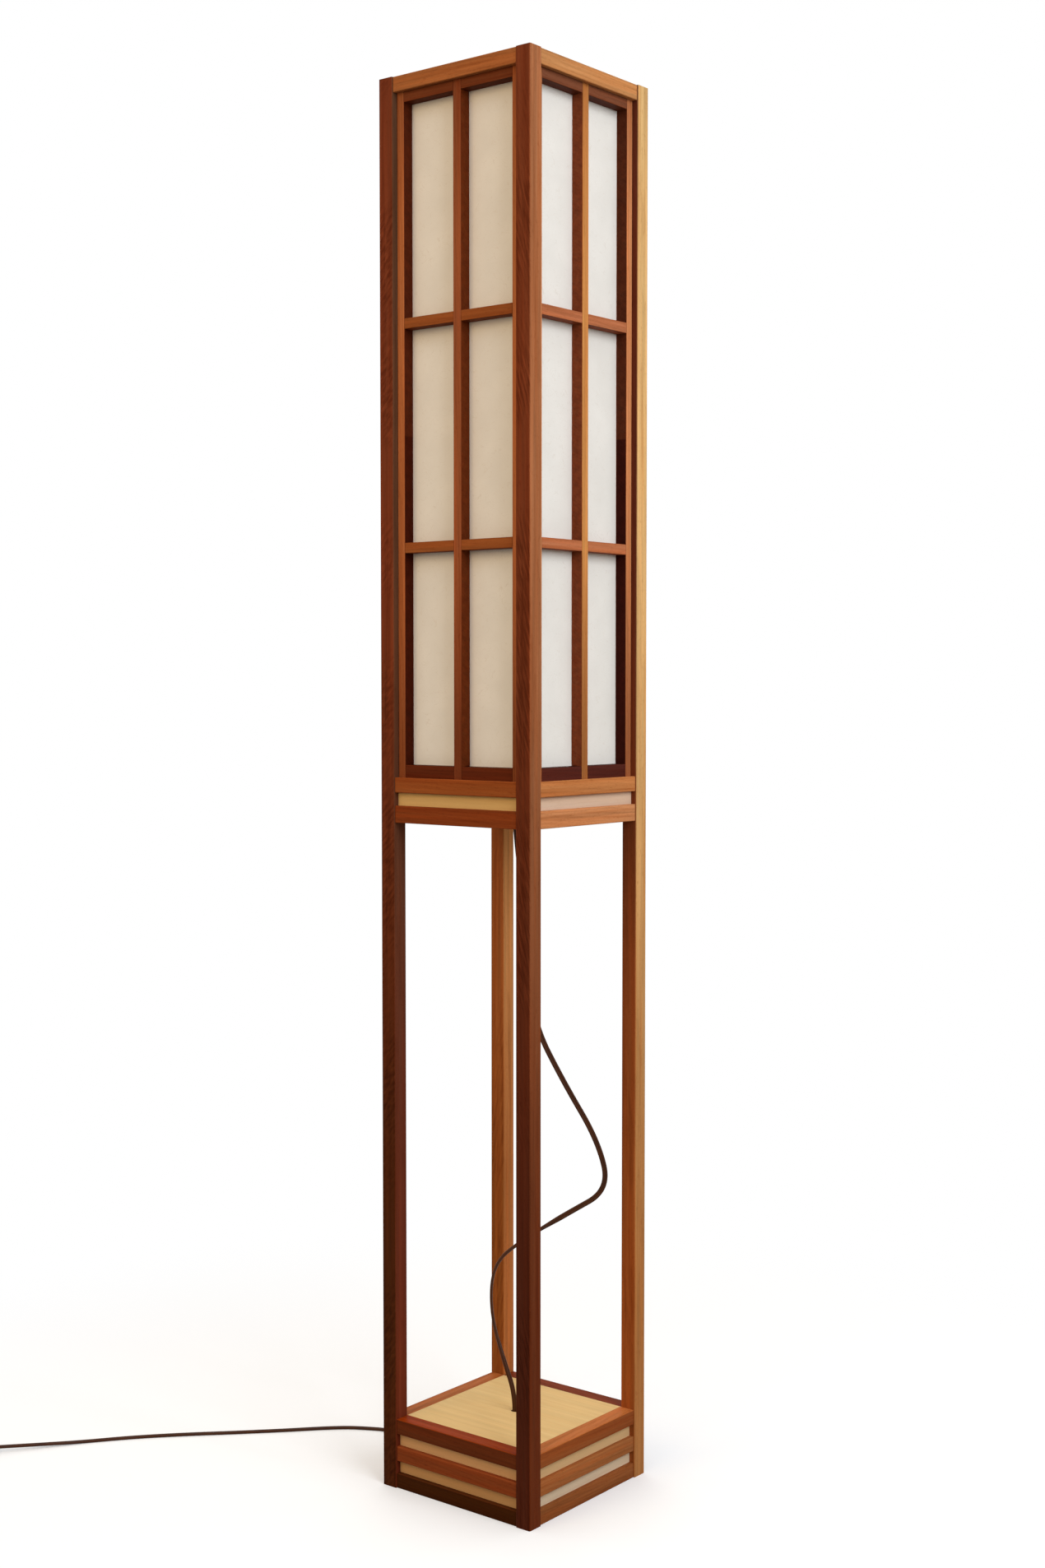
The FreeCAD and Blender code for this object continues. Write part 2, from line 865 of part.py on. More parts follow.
def arc_from(start, direction, end):
    chord = end - start
    half = direction.getAngle(chord)
    if half < straight_turn:
        return Part.LineSegment(start, end).toShape()
    along = (end - start).normalize()
    bulge = (direction - along * direction.dot(along)).normalize()
    middle = (start + end) / 2 + bulge * (chord.Length / 2 * math.tan(half / 2))
    return Part.Arc(start, middle, end).toShape()


def biarc(start, start_direction, end, end_direction):
    gap = end - start
    both = start_direction + end_direction
    bend = 2 * (1 - start_direction.dot(end_direction))
    dot = gap.dot(both)
    square = gap.dot(gap)
    if bend < straight_turn ** 2:
        reach = square / (4 * gap.dot(end_direction))
    else:
        reach = (math.sqrt(dot ** 2 + bend * square) - dot) / bend
    joint = (start + start_direction * reach + end - end_direction * reach) / 2
    second = arc_from(end, end_direction * -1, joint)
    middle = second.valueAt((second.FirstParameter + second.LastParameter) / 2)
    if second.Curve.TypeId == "Part::GeomLine":
        last = Part.LineSegment(joint, end).toShape()
    else:
        last = Part.Arc(joint, middle, end).toShape()
    return [arc_from(start, start_direction, joint), last]


def coil_stations(centre, first_angle):
    stations = []
    for step in range(coil_steps + 1):
        turn = coil_turns * step / coil_steps
        off = turn - coil_turns / 2
        angle = first_angle - 2 * math.pi * turn
        radius = coil_inner_radius + coil_pitch * abs(off)
        outward = vec(math.cos(angle), math.sin(angle), 0)
        onward = vec(math.sin(angle), -math.cos(angle), 0)
        half = coil_steps // 2
        height = cord_radius
        if step == half:
            height = cord_radius + coil_layer_rise / 2
        if step > half:
            height = cord_radius + coil_layer_rise
        direction = onward * (2 * math.pi * radius)
        if step not in (0, half, coil_steps):
            direction += outward * (coil_pitch if off > 0 else -coil_pitch)
        if step == half:
            direction += UP * (coil_climb_share * coil_layer_rise * coil_steps / coil_turns / 2)
        place = centre + outward * radius
        stations.append((vec(place.x, place.y, height), direction.normalize()))
    return stations


def least_gap(edges):
    points = []
    run = 0.0
    for edge in edges:
        count = max(2, int(edge.Length / (cord_radius / 2)))
        for point in edge.discretize(count)[:-1]:
            points.append((run, point))
            run += edge.Length / (count - 1)
    gap = None
    for i, (here, a) in enumerate(points):
        for there, b in points[i + 1:]:
            if there - here > 4 * cord_diameter:
                distance = a.distanceToPoint(b) - cord_diameter
                gap = distance if gap is None else min(gap, distance)
    return gap


def make_coil():
    inside = switch_start + heading * (switch_length - cord_entry)
    clear = inside + heading * (cord_entry + cord_diameter)
    landing = clear + heading * (coil_lead_in - cord_diameter)
    landing.z = cord_radius
    sideways = vec(heading.y, -heading.x, 0)
    outer = coil_inner_radius + coil_pitch * coil_turns / 2
    centre = landing + sideways * outer
    centre.z = 0
    first_angle = math.atan2(-sideways.y, -sideways.x)
    stations = coil_stations(centre, first_angle)
    edges = [Part.LineSegment(inside, clear).toShape()]
    edges += biarc(clear, heading, landing, heading)
    for (a, a_direction), (b, b_direction) in zip(stations, stations[1:]):
        edges += biarc(a, a_direction, b, b_direction)
    leave, onward = stations[-1]
    settle = leave + onward * coil_lead_out
    settle.z = plug_height / 2
    edges += biarc(leave, onward, settle, onward)
    end = settle + onward * cord_diameter
    edges.append(Part.LineSegment(settle, end).toShape())
    tube = tube_along(edges, cord_diameter, inside, heading)
    length = sum(edge.Length for edge in edges)
    share = tube.Volume / (math.pi * cord_radius ** 2 * length)
    print("lead_coil length", round(length, 1), "volume share", round(share, 4))
    tightest = min(edge.Curve.Radius for edge in edges if edge.Curve.TypeId == "Part::GeomCircle")
    print("  tightest radius", round(tightest, 1))
    print("  least gap to itself", round(least_gap(edges), 2))
    print("  centre", [round(value, 1) for value in centre], "outer radius", round(outer, 1))
    return tube, end, onward


nodes["lead_coil"], plug_start, plug_heading = make_coil()


# Plug, made along X and then set at the end of the coil

def at_plug(shape):
    copy = shape.copy()
    turn = FreeCAD.Rotation(vec(1, 0, 0), plug_heading)
    copy.Placement = FreeCAD.Placement(vec(plug_start.x, plug_start.y, 0), turn)
    return copy


def make_plug():
    body = rounded_block(plug_length, plug_width, 0, plug_height, plug_corner)
    body = body.makeChamfer(plug_edge, rim_edges(body, 0) + rim_edges(body, plug_height))
    body.translate(vec(plug_tail, 0, 0))
    foot = vec(0, 0, plug_height / 2)
    tail_length = plug_tail + plug_corner
    tail = Part.makeCone(plug_tail_end / 2, plug_tail_root / 2, tail_length, foot, vec(1, 0, 0))
    return body.fuse(tail).removeSplitter()


def make_blades():
    start = plug_tail + plug_length
    blades = []
    for middle in (-blade_spacing / 2, blade_spacing / 2):
        low = (start, middle - blade_thick / 2, (plug_height - blade_width) / 2)
        high = (start + blade_length, middle + blade_thick / 2, (plug_height + blade_width) / 2)
        blades.append(box(low, high))
    return blades


nodes["plug_body"] = at_plug(make_plug())
nodes["plug_blades"] = at_plug(group(make_blades()))


# Files, one for each node

os.makedirs("parts", exist_ok=True)
for name, shape in nodes.items():
    shape.exportStep("parts/" + name + ".step")
print(len(nodes), "nodes")
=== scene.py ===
# %% [markdown]
# # An andon floor lamp
# The lamp is a tall open frame of four thin posts. Its upper half is a lantern
# of four shoji panels, its middle is open, and a low boxed base stands on the
# floor. A flat brown twin cord hangs through the middle. The construction is
# loaded first, at its real size and in metres. What follows gives each piece
# its finish and models what is soft, round or turned more closely.

# %% Load the construction
import math

import bmesh
import bpy
from mathutils import Matrix, Vector


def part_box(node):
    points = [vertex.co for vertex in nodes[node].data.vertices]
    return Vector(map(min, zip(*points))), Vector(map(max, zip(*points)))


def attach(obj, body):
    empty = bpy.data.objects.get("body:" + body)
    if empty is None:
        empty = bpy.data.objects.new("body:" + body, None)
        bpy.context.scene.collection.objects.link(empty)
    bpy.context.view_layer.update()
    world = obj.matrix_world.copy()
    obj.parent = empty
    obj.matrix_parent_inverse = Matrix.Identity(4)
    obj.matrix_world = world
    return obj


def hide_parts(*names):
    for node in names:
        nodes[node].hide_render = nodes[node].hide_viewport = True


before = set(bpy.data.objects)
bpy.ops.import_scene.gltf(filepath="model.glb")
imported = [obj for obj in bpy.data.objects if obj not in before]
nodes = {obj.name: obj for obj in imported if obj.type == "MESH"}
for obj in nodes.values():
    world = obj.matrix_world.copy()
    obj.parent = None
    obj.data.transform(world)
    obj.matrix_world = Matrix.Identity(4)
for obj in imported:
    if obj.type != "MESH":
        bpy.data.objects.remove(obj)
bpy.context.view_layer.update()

MM = 0.001
SIDES = ["front", "right", "back", "left"]

# %% [markdown]
# ## Helpers
# Colours are written as hex values, the way a paint chip is read from a
# screen. Blender's sockets take linear light, so one function turns the first
# into the second. A second small function adds one node, sets its properties
# and links its inputs: a number or colour is set on the socket itself, and a
# node is linked to it. Four more write the commonest nodes in a word: a sum,
# a range carried over to another, a direction split into its axes, and a soft
# noise whose patches have a real size.

# %% Colour and node helpers
SRGB_KNEE = 0.04045
SRGB_SLOPE = 12.92
SRGB_LIFT = 0.055
SRGB_POWER = 2.4


def ink(code):
    shares = [int(code[place:place + 2], 16) / 255 for place in (1, 3, 5)]
    bright = [((share + SRGB_LIFT) / (1 + SRGB_LIFT)) ** SRGB_POWER for share in shares]
    dim = [share / SRGB_SLOPE for share in shares]
    return [d if share <= SRGB_KNEE else b for share, d, b in zip(shares, dim, bright)] + [1]


def add(tree, kind, settings=(), inputs=()):
    made = tree.nodes.new(kind if "Node" in kind else "ShaderNode" + kind)
    for name, value in dict(settings).items():
        setattr(made, name, value)
    for socket, value in dict(inputs).items():
        if isinstance(value, bpy.types.Node):
            value = value.outputs[0]
        if isinstance(value, bpy.types.NodeSocket):
            tree.links.new(value, made.inputs[socket])
        else:
            made.inputs[socket].default_value = value
    return made


def calc(tree, operation, *terms):
    return add(tree, "Math", {"operation": operation}, dict(enumerate(terms)))


def span(tree, value, low=0.0, high=1.0, to_low=0.0, to_high=1.0, smooth=False):
    return add(tree, "MapRange", {"interpolation_type": "SMOOTHSTEP" if smooth else "LINEAR"},
               {"Value": value, "From Min": low, "From Max": high, "To Min": to_low, "To Max": to_high})


def axes(tree, vector):
    return add(tree, "SeparateXYZ", {}, {0: vector}).outputs


def clouds(tree, size, detail, distortion=0.0):
    place = add(tree, "TexCoord").outputs["Object"]
    return add(tree, "TexNoise", {}, {"Vector": place, "Scale": 1 / size, "Detail": detail,
                                      "Distortion": distortion})


def blank_material(name):
    material = bpy.data.materials.new(name)
    material.use_nodes = True
    material.node_tree.nodes.clear()
    return material, material.node_tree


def dress(names, material):
    for name in names:
        nodes[name].data.materials.clear()
        nodes[name].data.materials.append(material)


print("helper check, mid grey:", [round(value, 3) for value in ink("#808080")])

# %% [markdown]
# ## Camera
# The camera stands where the photographer stood, at the lamp's right front
# and a little above half its height. It could be placed by eye, but the
# straight edges of posts and rails give its place exactly, so the values are
# measured ones: where it stands, how far it is turned from straight ahead, how
# far it looks down, and its lens.

# %% Camera
CAMERA_PLACE = (1.40819, -1.74920, 0.88172)
CAMERA_TURN = 38.617
CAMERA_DIP = 2.808
CAMERA_LENS = 47.278

camera = bpy.data.objects.new("camera", bpy.data.cameras.new("camera"))
camera.location = CAMERA_PLACE
camera.rotation_euler = (math.radians(90 - CAMERA_DIP), 0, math.radians(CAMERA_TURN))
camera.data.lens = CAMERA_LENS
bpy.context.scene.collection.objects.link(camera)
bpy.context.scene.camera = camera
print("camera distance:", round(Vector(CAMERA_PLACE).xy.length, 3))

# %% [markdown]
# ## Cord
# Lamp cord of this kind is a flat twin flex: two stranded wires side by side,
# each in its own round lobe of soft vinyl, joined by a thin web. It is 6 mm
# wide and 3.1 mm thick, and it keeps a little of the set of the hank it was
# sold in. So it hangs in a slack, uneven loop, and it turns about itself as it
# goes. A bevelled curve would be round, so the cord is a mesh: its section is
# drawn once and carried along points read from a smooth spline.

# %% Routes of the cord
CORD_WIDTH = 6.0 * MM
CORD_THICK = 3.1 * MM
FLOOR_HEIGHT = CORD_THICK / 2

hanging_route = [
    (0, 0, 0.736), (0.0015, 0.001, 0.708), (0.0065, 0.004, 0.664), (0.0125, 0.002, 0.592),
    (0.022, 0.006, 0.510), (0.046, 0.028, 0.445), (0.073, 0.056, 0.378),
    (0.078, 0.070, 0.322), (0.040, 0.043, 0.295), (0.002, 0.012, 0.266),
    (-0.0215, -0.012, 0.240), (-0.0225, -0.0155, 0.186), (-0.009, -0.0065, 0.130),
    (0, 0, 0.096), (0, 0, 0.0762),
]
lead_route = [
    (-0.103, 0, 0.023125), (-0.132, 0, 0.023125), (-0.161, 0.006, 0.0145),
    (-0.178, 0.014, 0.006), (-0.194, 0.0185, FLOOR_HEIGHT), (-0.210, 0.0175, FLOOR_HEIGHT),
    (-0.228, 0.0083, FLOOR_HEIGHT), (-0.250, -0.005, FLOOR_HEIGHT),
    (-0.273, -0.027, FLOOR_HEIGHT), (-0.301, -0.058, FLOOR_HEIGHT),
    (-0.342, -0.100, FLOOR_HEIGHT), (-0.386, -0.143, FLOOR_HEIGHT),
    (-0.426, -0.187, FLOOR_HEIGHT), (-0.460, -0.233, FLOOR_HEIGHT),
    (-0.491, -0.282, 0.005), (-0.5192, -0.3196, 0.0065),
]


def spline_points(route, steps=16):
    curve = bpy.data.curves.new("route", "CURVE")
    curve.dimensions = "3D"
    curve.resolution_u = steps
    spline = curve.splines.new("NURBS")
    spline.points.add(len(route) - 1)
    for point, place in zip(spline.points, route):
        point.co = (*place, 1)
    spline.order_u = 3
    spline.use_endpoint_u = True
    holder = bpy.data.objects.new("route", curve)
    mesh = bpy.data.meshes.new_from_object(holder)
    points = [vertex.co.copy() for vertex in mesh.vertices]
    bpy.data.meshes.remove(mesh)
    bpy.data.objects.remove(holder)
    bpy.data.curves.remove(curve)
    return points


def length_of(points):
    return sum((b - a).length for a, b in zip(points, points[1:]))


hanging_line = spline_points(hanging_route)
lead_line = spline_points(lead_route)
print("hanging cord:", round(length_of(hanging_line), 3), "lead:", round(length_of(lead_line), 3))

# %% [markdown]
# ## Coil of spare lead
# Past the hand switch the rest of the lead is wound up beside its plug, as
# the lamp would stand in a shop. A flat cord bends easily only across its
# thin side, so in a coil it stands on edge. The turns are worked out: they
# spiral in on the floor, climb one layer and spiral out again.

# %% Route of the coil
SWITCH_LENGTH = 0.060
CORD_ENTRY = 0.005
COIL_TURNS = 5.3976
COIL_PITCH = 0.0065
COIL_INNER_RADIUS = 0.0263
COIL_LAYERS = (0.0034, 0.0097)
COIL_CLIMB_TURNS = 0.5
COIL_LEAD_IN = 0.040
COIL_LEAD_OUT = 0.017
COIL_STRAIGHT = 0.006
POINTS_PER_TURN = 12
CORNER_SHARE = 1.035
PLUG_HEIGHT = 0.015

lead_end = Vector(lead_route[-1])
heading = Vector((-0.6, -0.8, 0))
sideways = Vector((heading.y, -heading.x, 0))
switch_start = lead_end - heading * CORD_ENTRY


def coil_points():
    inside = switch_start + heading * (SWITCH_LENGTH - CORD_ENTRY)
    clear = inside + heading * (CORD_ENTRY + COIL_STRAIGHT)
    landing = clear + heading * (COIL_LEAD_IN - COIL_STRAIGHT)
    centre = landing + sideways * (COIL_INNER_RADIUS + COIL_PITCH * COIL_TURNS / 2)
    points = [inside, clear, (clear + landing) / 2 - Vector((0, 0, COIL_LAYERS[0] / 2))]
    count = round(COIL_TURNS * POINTS_PER_TURN)
    first_angle = math.atan2(-sideways.y, -sideways.x)
    low, high = COIL_LAYERS
    for step in range(count + 1):
        turn = COIL_TURNS * step / count
        off = turn - COIL_TURNS / 2
        angle = first_angle - math.tau * turn
        radius = COIL_INNER_RADIUS + COIL_PITCH * abs(off)
        if 0 < step < count:
            radius *= CORNER_SHARE
        climb = min(1, max(0, off / COIL_CLIMB_TURNS + 1 / 2))
        outward = Vector((math.cos(angle), math.sin(angle), 0))
        place = centre + outward * radius
        points.append(Vector((place.x, place.y, low + (high - low) * climb)))
    last_angle = first_angle - math.tau * COIL_TURNS
    onward = Vector((math.sin(last_angle), -math.cos(last_angle), 0))
    settle = points[-1] + onward * COIL_LEAD_OUT
    settle.z = PLUG_HEIGHT / 2
    points.append(settle)
    points.append(settle + onward * COIL_STRAIGHT)
    return points, centre, onward


coil_route, coil_centre, plug_heading = coil_points()
coil_line = spline_points(coil_route, 6)
print("coil:", round(length_of(coil_line), 3), "centre:", [round(value, 4) for value in coil_centre])

# %% [markdown]
# ## The flat twin section
# The outline is two arcs, one for each lobe, with the short web between them. It is carried along the line
# with a direction for its thin side, given at a few places and blended between them, because a real cord
# turns about itself slowly and never snaps round.

# %% Section of the twin cord
LOBE_RADIUS = CORD_THICK / 2
LOBE_OFFSET = CORD_WIDTH / 2 - LOBE_RADIUS
WEB_HALF = 0.8 * MM
LOBE_STEPS = 9


def twin_section():
    meet = math.pi - math.asin(WEB_HALF / LOBE_RADIUS)
    right = []
    for step in range(LOBE_STEPS + 1):
        angle = -meet + 2 * meet * step / LOBE_STEPS
        across = LOBE_OFFSET + LOBE_RADIUS * math.cos(angle)
        right.append((across, LOBE_RADIUS * math.sin(angle)))
    return right + [(-across, -rise) for across, rise in right]


def thin_sides(line, guides):
    """The direction of the cord's thin side at each point: guides holds (share of the length, direction)."""
    total = length_of(line)
    run = 0.0
    found = []
    for index, point in enumerate(line):
        before = line[max(index - 1, 0)]
        run += (point - before).length
        share = run / total
        place = max(i for i, guide in enumerate(guides[:-1]) if guide[0] <= share + 1e-6)
        (a, first), (b, second) = guides[place], guides[place + 1]
        part = min(1, max(0, (share - a) / (b - a)))
        eased = part * part * (3 - 2 * part)
        after = line[min(index + 1, len(line) - 1)]
        along = (after - before).normalized()
        thin = Vector(first).lerp(Vector(second), eased)
        found.append((along, (thin - along * thin.dot(along)).normalized()))
    return found


print("points in the section:", len(twin_section()))

# %% [markdown]
# What is modelled here rides on a body of the lamp, as the construction's
# own pieces do. Its skin is smooth, except where two faces meet at a sharp
# angle. A piece that stands for a plainer solid says which one it replaces.

# %% Placing and sweeping
SHARP_ANGLE = math.radians(40)


def place_mesh(name, mesh, body, instead=None):
    mesh.polygons.foreach_set("use_smooth", [True] * len(mesh.polygons))
    mesh.set_sharp_from_angle(angle=SHARP_ANGLE)
    made = bpy.data.objects.new(name, mesh)
    bpy.context.scene.collection.objects.link(made)
    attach(made, body)
    if instead:
        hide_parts(instead)
    return made


def swept(name, line, sides, section, slot, instead=None, closed=False):
    """Carries a section along a line; sides holds the direction along it and of the section's height."""
    count = len(section)
    points = []
    for place, (along, thin) in zip(line, sides):
        wide = thin.cross(along)
        points += [place + wide * across + thin * rise for across, rise in section]
    total = len(points)
    faces = []
    for ring in range(len(line) if closed else len(line) - 1):
        for step in range(count):
            a = ring * count + step
            b = ring * count + (step + 1) % count
            faces.append((a, b, (b + count) % total, (a + count) % total))
    if not closed:
        faces.append(tuple(reversed(range(count))))
        faces.append(tuple(range(total - count, total)))
    mesh = bpy.data.meshes.new(name)
    mesh.from_pydata(points, [], faces)
    return place_mesh(name, mesh, "frame", instead)


def twin_cord(name, line, guides, instead):
    return swept(name, line, thin_sides(line, guides), twin_section(), "cord_sheath", instead)


print("edges stay sharp from", round(math.degrees(SHARP_ANGLE)), "degrees")

# %% [markdown]
# The hanging cord is slack, so its thin side turns a few times on the way
# down. On the floor the lead lies flat, with its thin side up. In the coil it
# stands on edge, so there the thin side looks away from the coil's middle.

# %% Lay the free cords
UPWARD = (0, 0, 1)
RIGHTWARD = (1, 0, 0)
COIL_STATIONS = 60

hanging_guides = [
    (0, RIGHTWARD), (0.22, (0.88, -0.48, 0)), (0.52, (0.80, -0.60, 0)), (0.62, (0.62, -0.55, 0.56)),
    (0.70, (0.93, 0.35, 0)), (0.84, (0.78, 0.62, 0)), (1, (1, -0.2, 0)),
]
hanging_twin = twin_cord("hanging_flex", hanging_line, hanging_guides, "hanging_cord")
lead_twin = twin_cord("floor_flex", lead_line, [(0, UPWARD), (1, UPWARD)], "lead")
coil_guides = [(0, UPWARD)]
for step in range(1, COIL_STATIONS):
    share = step / COIL_STATIONS
    out = coil_line[round(share * (len(coil_line) - 1))] - coil_centre
    out.z = 0
    coil_guides.append((share, out.normalized()))
coil_guides.append((1, UPWARD))
coil_twin = twin_cord("coiled_flex", coil_line, coil_guides, "lead_coil")
free_cords = (hanging_twin, lead_twin, coil_twin)
print("points of the free cords:", [len(piece.data.vertices) for piece in free_cords])

# %% [markdown]
# Two more stretches are out of sight. One stands in the threaded stem, and
# one turns under the base's lid and leads out at its side. Their ends are
# where the construction has them.

# %% Cord in the stem and the base
stem_low, stem_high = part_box("cord_in_stem")
base_low, base_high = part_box("cord_in_base")
stem_line = [Vector((0, 0, stem_low.z)), Vector((0, 0, stem_high.z))]
stem_twin = twin_cord("stem_flex", stem_line, [(0, RIGHTWARD), (1, RIGHTWARD)], "cord_in_stem")
exit_height = lead_route[0][2]
base_route = [
    (0, 0, base_high.z), (0, 0, 0.05), (-0.004, 0, exit_height + 0.004), (-0.03, 0, exit_height),
    (base_low.x, 0, exit_height),
]
base_twin = twin_cord("base_flex", spline_points(base_route),
                      [(0, RIGHTWARD), (0.3, (1, 0, 0.2)), (1, UPWARD)], "cord_in_base")
print("cord in the stem:", round(stem_high.z - stem_low.z, 3), "m")

# %% [markdown]
# These are the three free stretches of the cord, each with its own line.

print("free cords:", [piece.name for piece in free_cords])

# %% [markdown]
# ## Wood
# The frame is a reddish hardwood, cut into thin sticks and rubbed with oil.
# Its growth rings cross some faces at a slant and show there as dark flames,
# and run along others as fine lines. Each stick came out of another board, so
# each has its own tone: the back right post is nearly all pale sapwood. One
# function draws all of it. It needs to know which way the grain runs, and a
# stick's tone at four places, between which it blends.

# %% Helpers for patterns
def ramp(tree, factor, stops):
    made = add(tree, "ValToRGB", {}, {"Fac": factor})
    band = made.color_ramp
    while len(band.elements) < len(stops):
        band.elements.new(1)
    for element, (place, color) in zip(band.elements, stops):
        element.position = place
        element.color = color
    return made


def grey(level):
    return (level, level, level, 1)


def streaks(tree, grain, length, width, spread, fine=3.0):
    """Noise drawn out along the grain: one streak's length and width, and how soft its edge is."""
    drawn = add(tree, "VectorMath", {"operation": "MULTIPLY"},
                {0: grain, 1: (1 / length, 1 / width, 1 / width)})
    noise = add(tree, "TexNoise", {}, {"Vector": drawn, "Scale": 1.0, "Detail": fine})
    return span(tree, noise, 0.5 - spread, 0.5 + spread)


def blend(tree, factor, first, second, how="MIX"):
    """Mixes two colours. Sockets 6 and 7 are the colour pair of a mix node, and output 2 is its colour."""
    made = add(tree, "Mix", {"data_type": "RGBA", "blend_type": how}, {0: factor, 6: first, 7: second})
    return made.outputs[2]


def deepened(tree, mask, color, share):
    return blend(tree, mask, color, blend(tree, 1.0, color, share, "MULTIPLY"))


print("a half grey:", grey(0.5))

# %% [markdown]
# The lamp's own coordinates say where the grain runs. On a post it runs up. On a rail it runs along its side
# of the lamp, so the side has to be found first, from whether x or y is the larger. A shoji panel has both:
# its stiles and its middle upright stand, and its rails and bars lie. Each function also gives masks for
# where a stick's tone changes: the posts are dark at the foot, the standing sticks of a panel are palest a
# little above their middle, and the tops of rails are lighter, most on the window's side, which is painted
# light.

# %% Which way the grain runs
POST_DARK_HEIGHT = 0.20
POST_LIGHT_HEIGHT = 1.10
BASE_MIDDLE = 0.038
UPRIGHT_HALF = 0.0053
PANEL_MIDDLE = 1.145
PANEL_PALEST = 1.185
END_NEAR = 0.14
END_FAR = 0.40
# A head rail's tone lies this far on the way from a foot rail's to a stile's. The rails of a panel are toned
# darker than its stiles, the foot rail most: painted shade.
HEAD_RAIL_SHARE = 0.18
# How much painted light the tops away from the window take, against 1 on its side.
FAR_TOP_SHARE = 0.5

panel_opening = max(corner[0] for corner in nodes["shoji_lattice_front"].bound_box)


def standing_grain(tree):
    """Posts. The masks: quarter-sawn faces (left and right), toned apart from the front and back partly for
    the cut and partly as painted light and shade, and the height, from 0 at the foot.
    """
    coordinate = add(tree, "TexCoord").outputs
    x, y, z = axes(tree, coordinate["Object"])
    facing = axes(tree, coordinate["Normal"])[0]
    grain = add(tree, "CombineXYZ", {}, {0: z, 1: x, 2: y})
    height = span(tree, z, POST_DARK_HEIGHT, POST_LIGHT_HEIGHT, smooth=True)
    return grain, calc(tree, "MULTIPLY", facing, facing), height


def side_axes(tree):
    """The place along a side of the lamp, the depth, the height, and a mask for the left and right sides."""
    coordinate = add(tree, "TexCoord").outputs
    x, y, z = axes(tree, coordinate["Object"])
    flank = calc(tree, "GREATER_THAN", calc(tree, "ABSOLUTE", x), calc(tree, "ABSOLUTE", y))
    along = add(tree, "Mix", {"data_type": "FLOAT"}, {0: flank, 2: x, 3: y})
    depth = add(tree, "Mix", {"data_type": "FLOAT"}, {0: flank, 2: y, 3: x})
    return coordinate, along.outputs[0], depth.outputs[0], z, flank


def lying_grain(tree):
    """Rails and the apron's boards. The masks: left and right sides, and the tops, with painted light, most
    on the window's side.
    """
    coordinate, along, depth, z, flank = side_axes(tree)
    grain = add(tree, "CombineXYZ", {}, {0: along, 1: depth, 2: z})
    # The tops take a lighter tone, most on the window's side: painted light.
    upward = calc(tree, "GREATER_THAN", axes(tree, coordinate["Normal"])[2], 0.5)
    windowward = add(tree, "VectorMath", {"operation": "DOT_PRODUCT"},
                     {0: coordinate["Object"], 1: (1, -1, 0)})
    top_light = span(tree, windowward.outputs["Value"], 0.0, MM, FAR_TOP_SHARE)
    return grain, flank, calc(tree, "MULTIPLY", upward, top_light)


def strip_grain(tree):
    """The base's side boards. The masks: left and right sides, and the lower of the two strips that show,
    toned apart from the upper one as painted light and shade, paler and cooler on the right.
    """
    _, along, depth, z, flank = side_axes(tree)
    grain = add(tree, "CombineXYZ", {}, {0: along, 1: depth, 2: z})
    return grain, flank, calc(tree, "LESS_THAN", z, BASE_MIDDLE)


def panel_grain(outer):
    """A shoji panel's frame (outer) or lattice. The masks: left and right sides, and standing sticks; a
    frame's rails take only part of its stiles' tone, as painted shade. Two more darken the wood: painted
    shade on the inner sides of the sticks, and a darker tone towards the ends of standing ones."""
    def layout(tree):
        coordinate, along, depth, z, flank = side_axes(tree)
        facing = axes(tree, coordinate["Normal"])
        ahead = add(tree, "Mix", {"data_type": "FLOAT"}, {0: flank, 2: facing[1], 3: facing[0]})
        # The inner sides of the sticks, for painted shade.
        inside = calc(tree, "LESS_THAN", calc(tree, "ABSOLUTE", ahead), 0.5)
        reach = calc(tree, "ABSOLUTE", along)
        if outer:
            standing = calc(tree, "GREATER_THAN", reach, panel_opening)
            # A frame's rails take part of its stiles' tone: painted shade.
            head_rail = span(tree, z, PANEL_MIDDLE, PANEL_MIDDLE + MM, 0.0, HEAD_RAIL_SHARE)
            tone = calc(tree, "MAXIMUM", standing, head_rail)
        else:
            standing = tone = calc(tree, "LESS_THAN", reach, UPRIGHT_HALF)
        lying = add(tree, "CombineXYZ", {}, {0: along, 1: depth, 2: z})
        upright = add(tree, "CombineXYZ", {}, {0: z, 1: depth, 2: along})
        grain = add(tree, "Mix", {"data_type": "VECTOR"}, {0: standing, 4: lying, 5: upright}).outputs[1]
        away = calc(tree, "ABSOLUTE", calc(tree, "SUBTRACT", z, PANEL_PALEST))
        toward_ends = span(tree, away, END_NEAR, END_FAR, smooth=True)
        return grain, flank, tone, inside, calc(tree, "MULTIPLY", toward_ends, standing)
    return layout


def board_grain(tree):
    """A flat board across the lamp, its grain along x. Both masks are its edges."""
    coordinate = add(tree, "TexCoord").outputs
    edge = calc(tree, "LESS_THAN", axes(tree, coordinate["Normal"])[2], 0.5)
    return coordinate["Object"], edge, edge


print("half a panel's opening:", round(panel_opening, 4))

# %% [markdown]
# The figure is built up as it grew. Rings come from a slanted count through
# the stick, swayed by noise, with a soft pale early part and a narrow dark
# late part. Fibres are long fine streaks, and a broad drift stands for uneven
# heartwood. Where a face is cut flat through leaning fibres, slanted ribbons
# show in patches. Open pores are short dark dashes. Real pores are 0.1 mm
# wide, too fine to see from where the camera stands, so they are drawn at
# 0.5 mm. Oil stays in the wood and leaves no film, so much less light than
# usual bounces straight off it, and the wood looks deep rather than shiny.

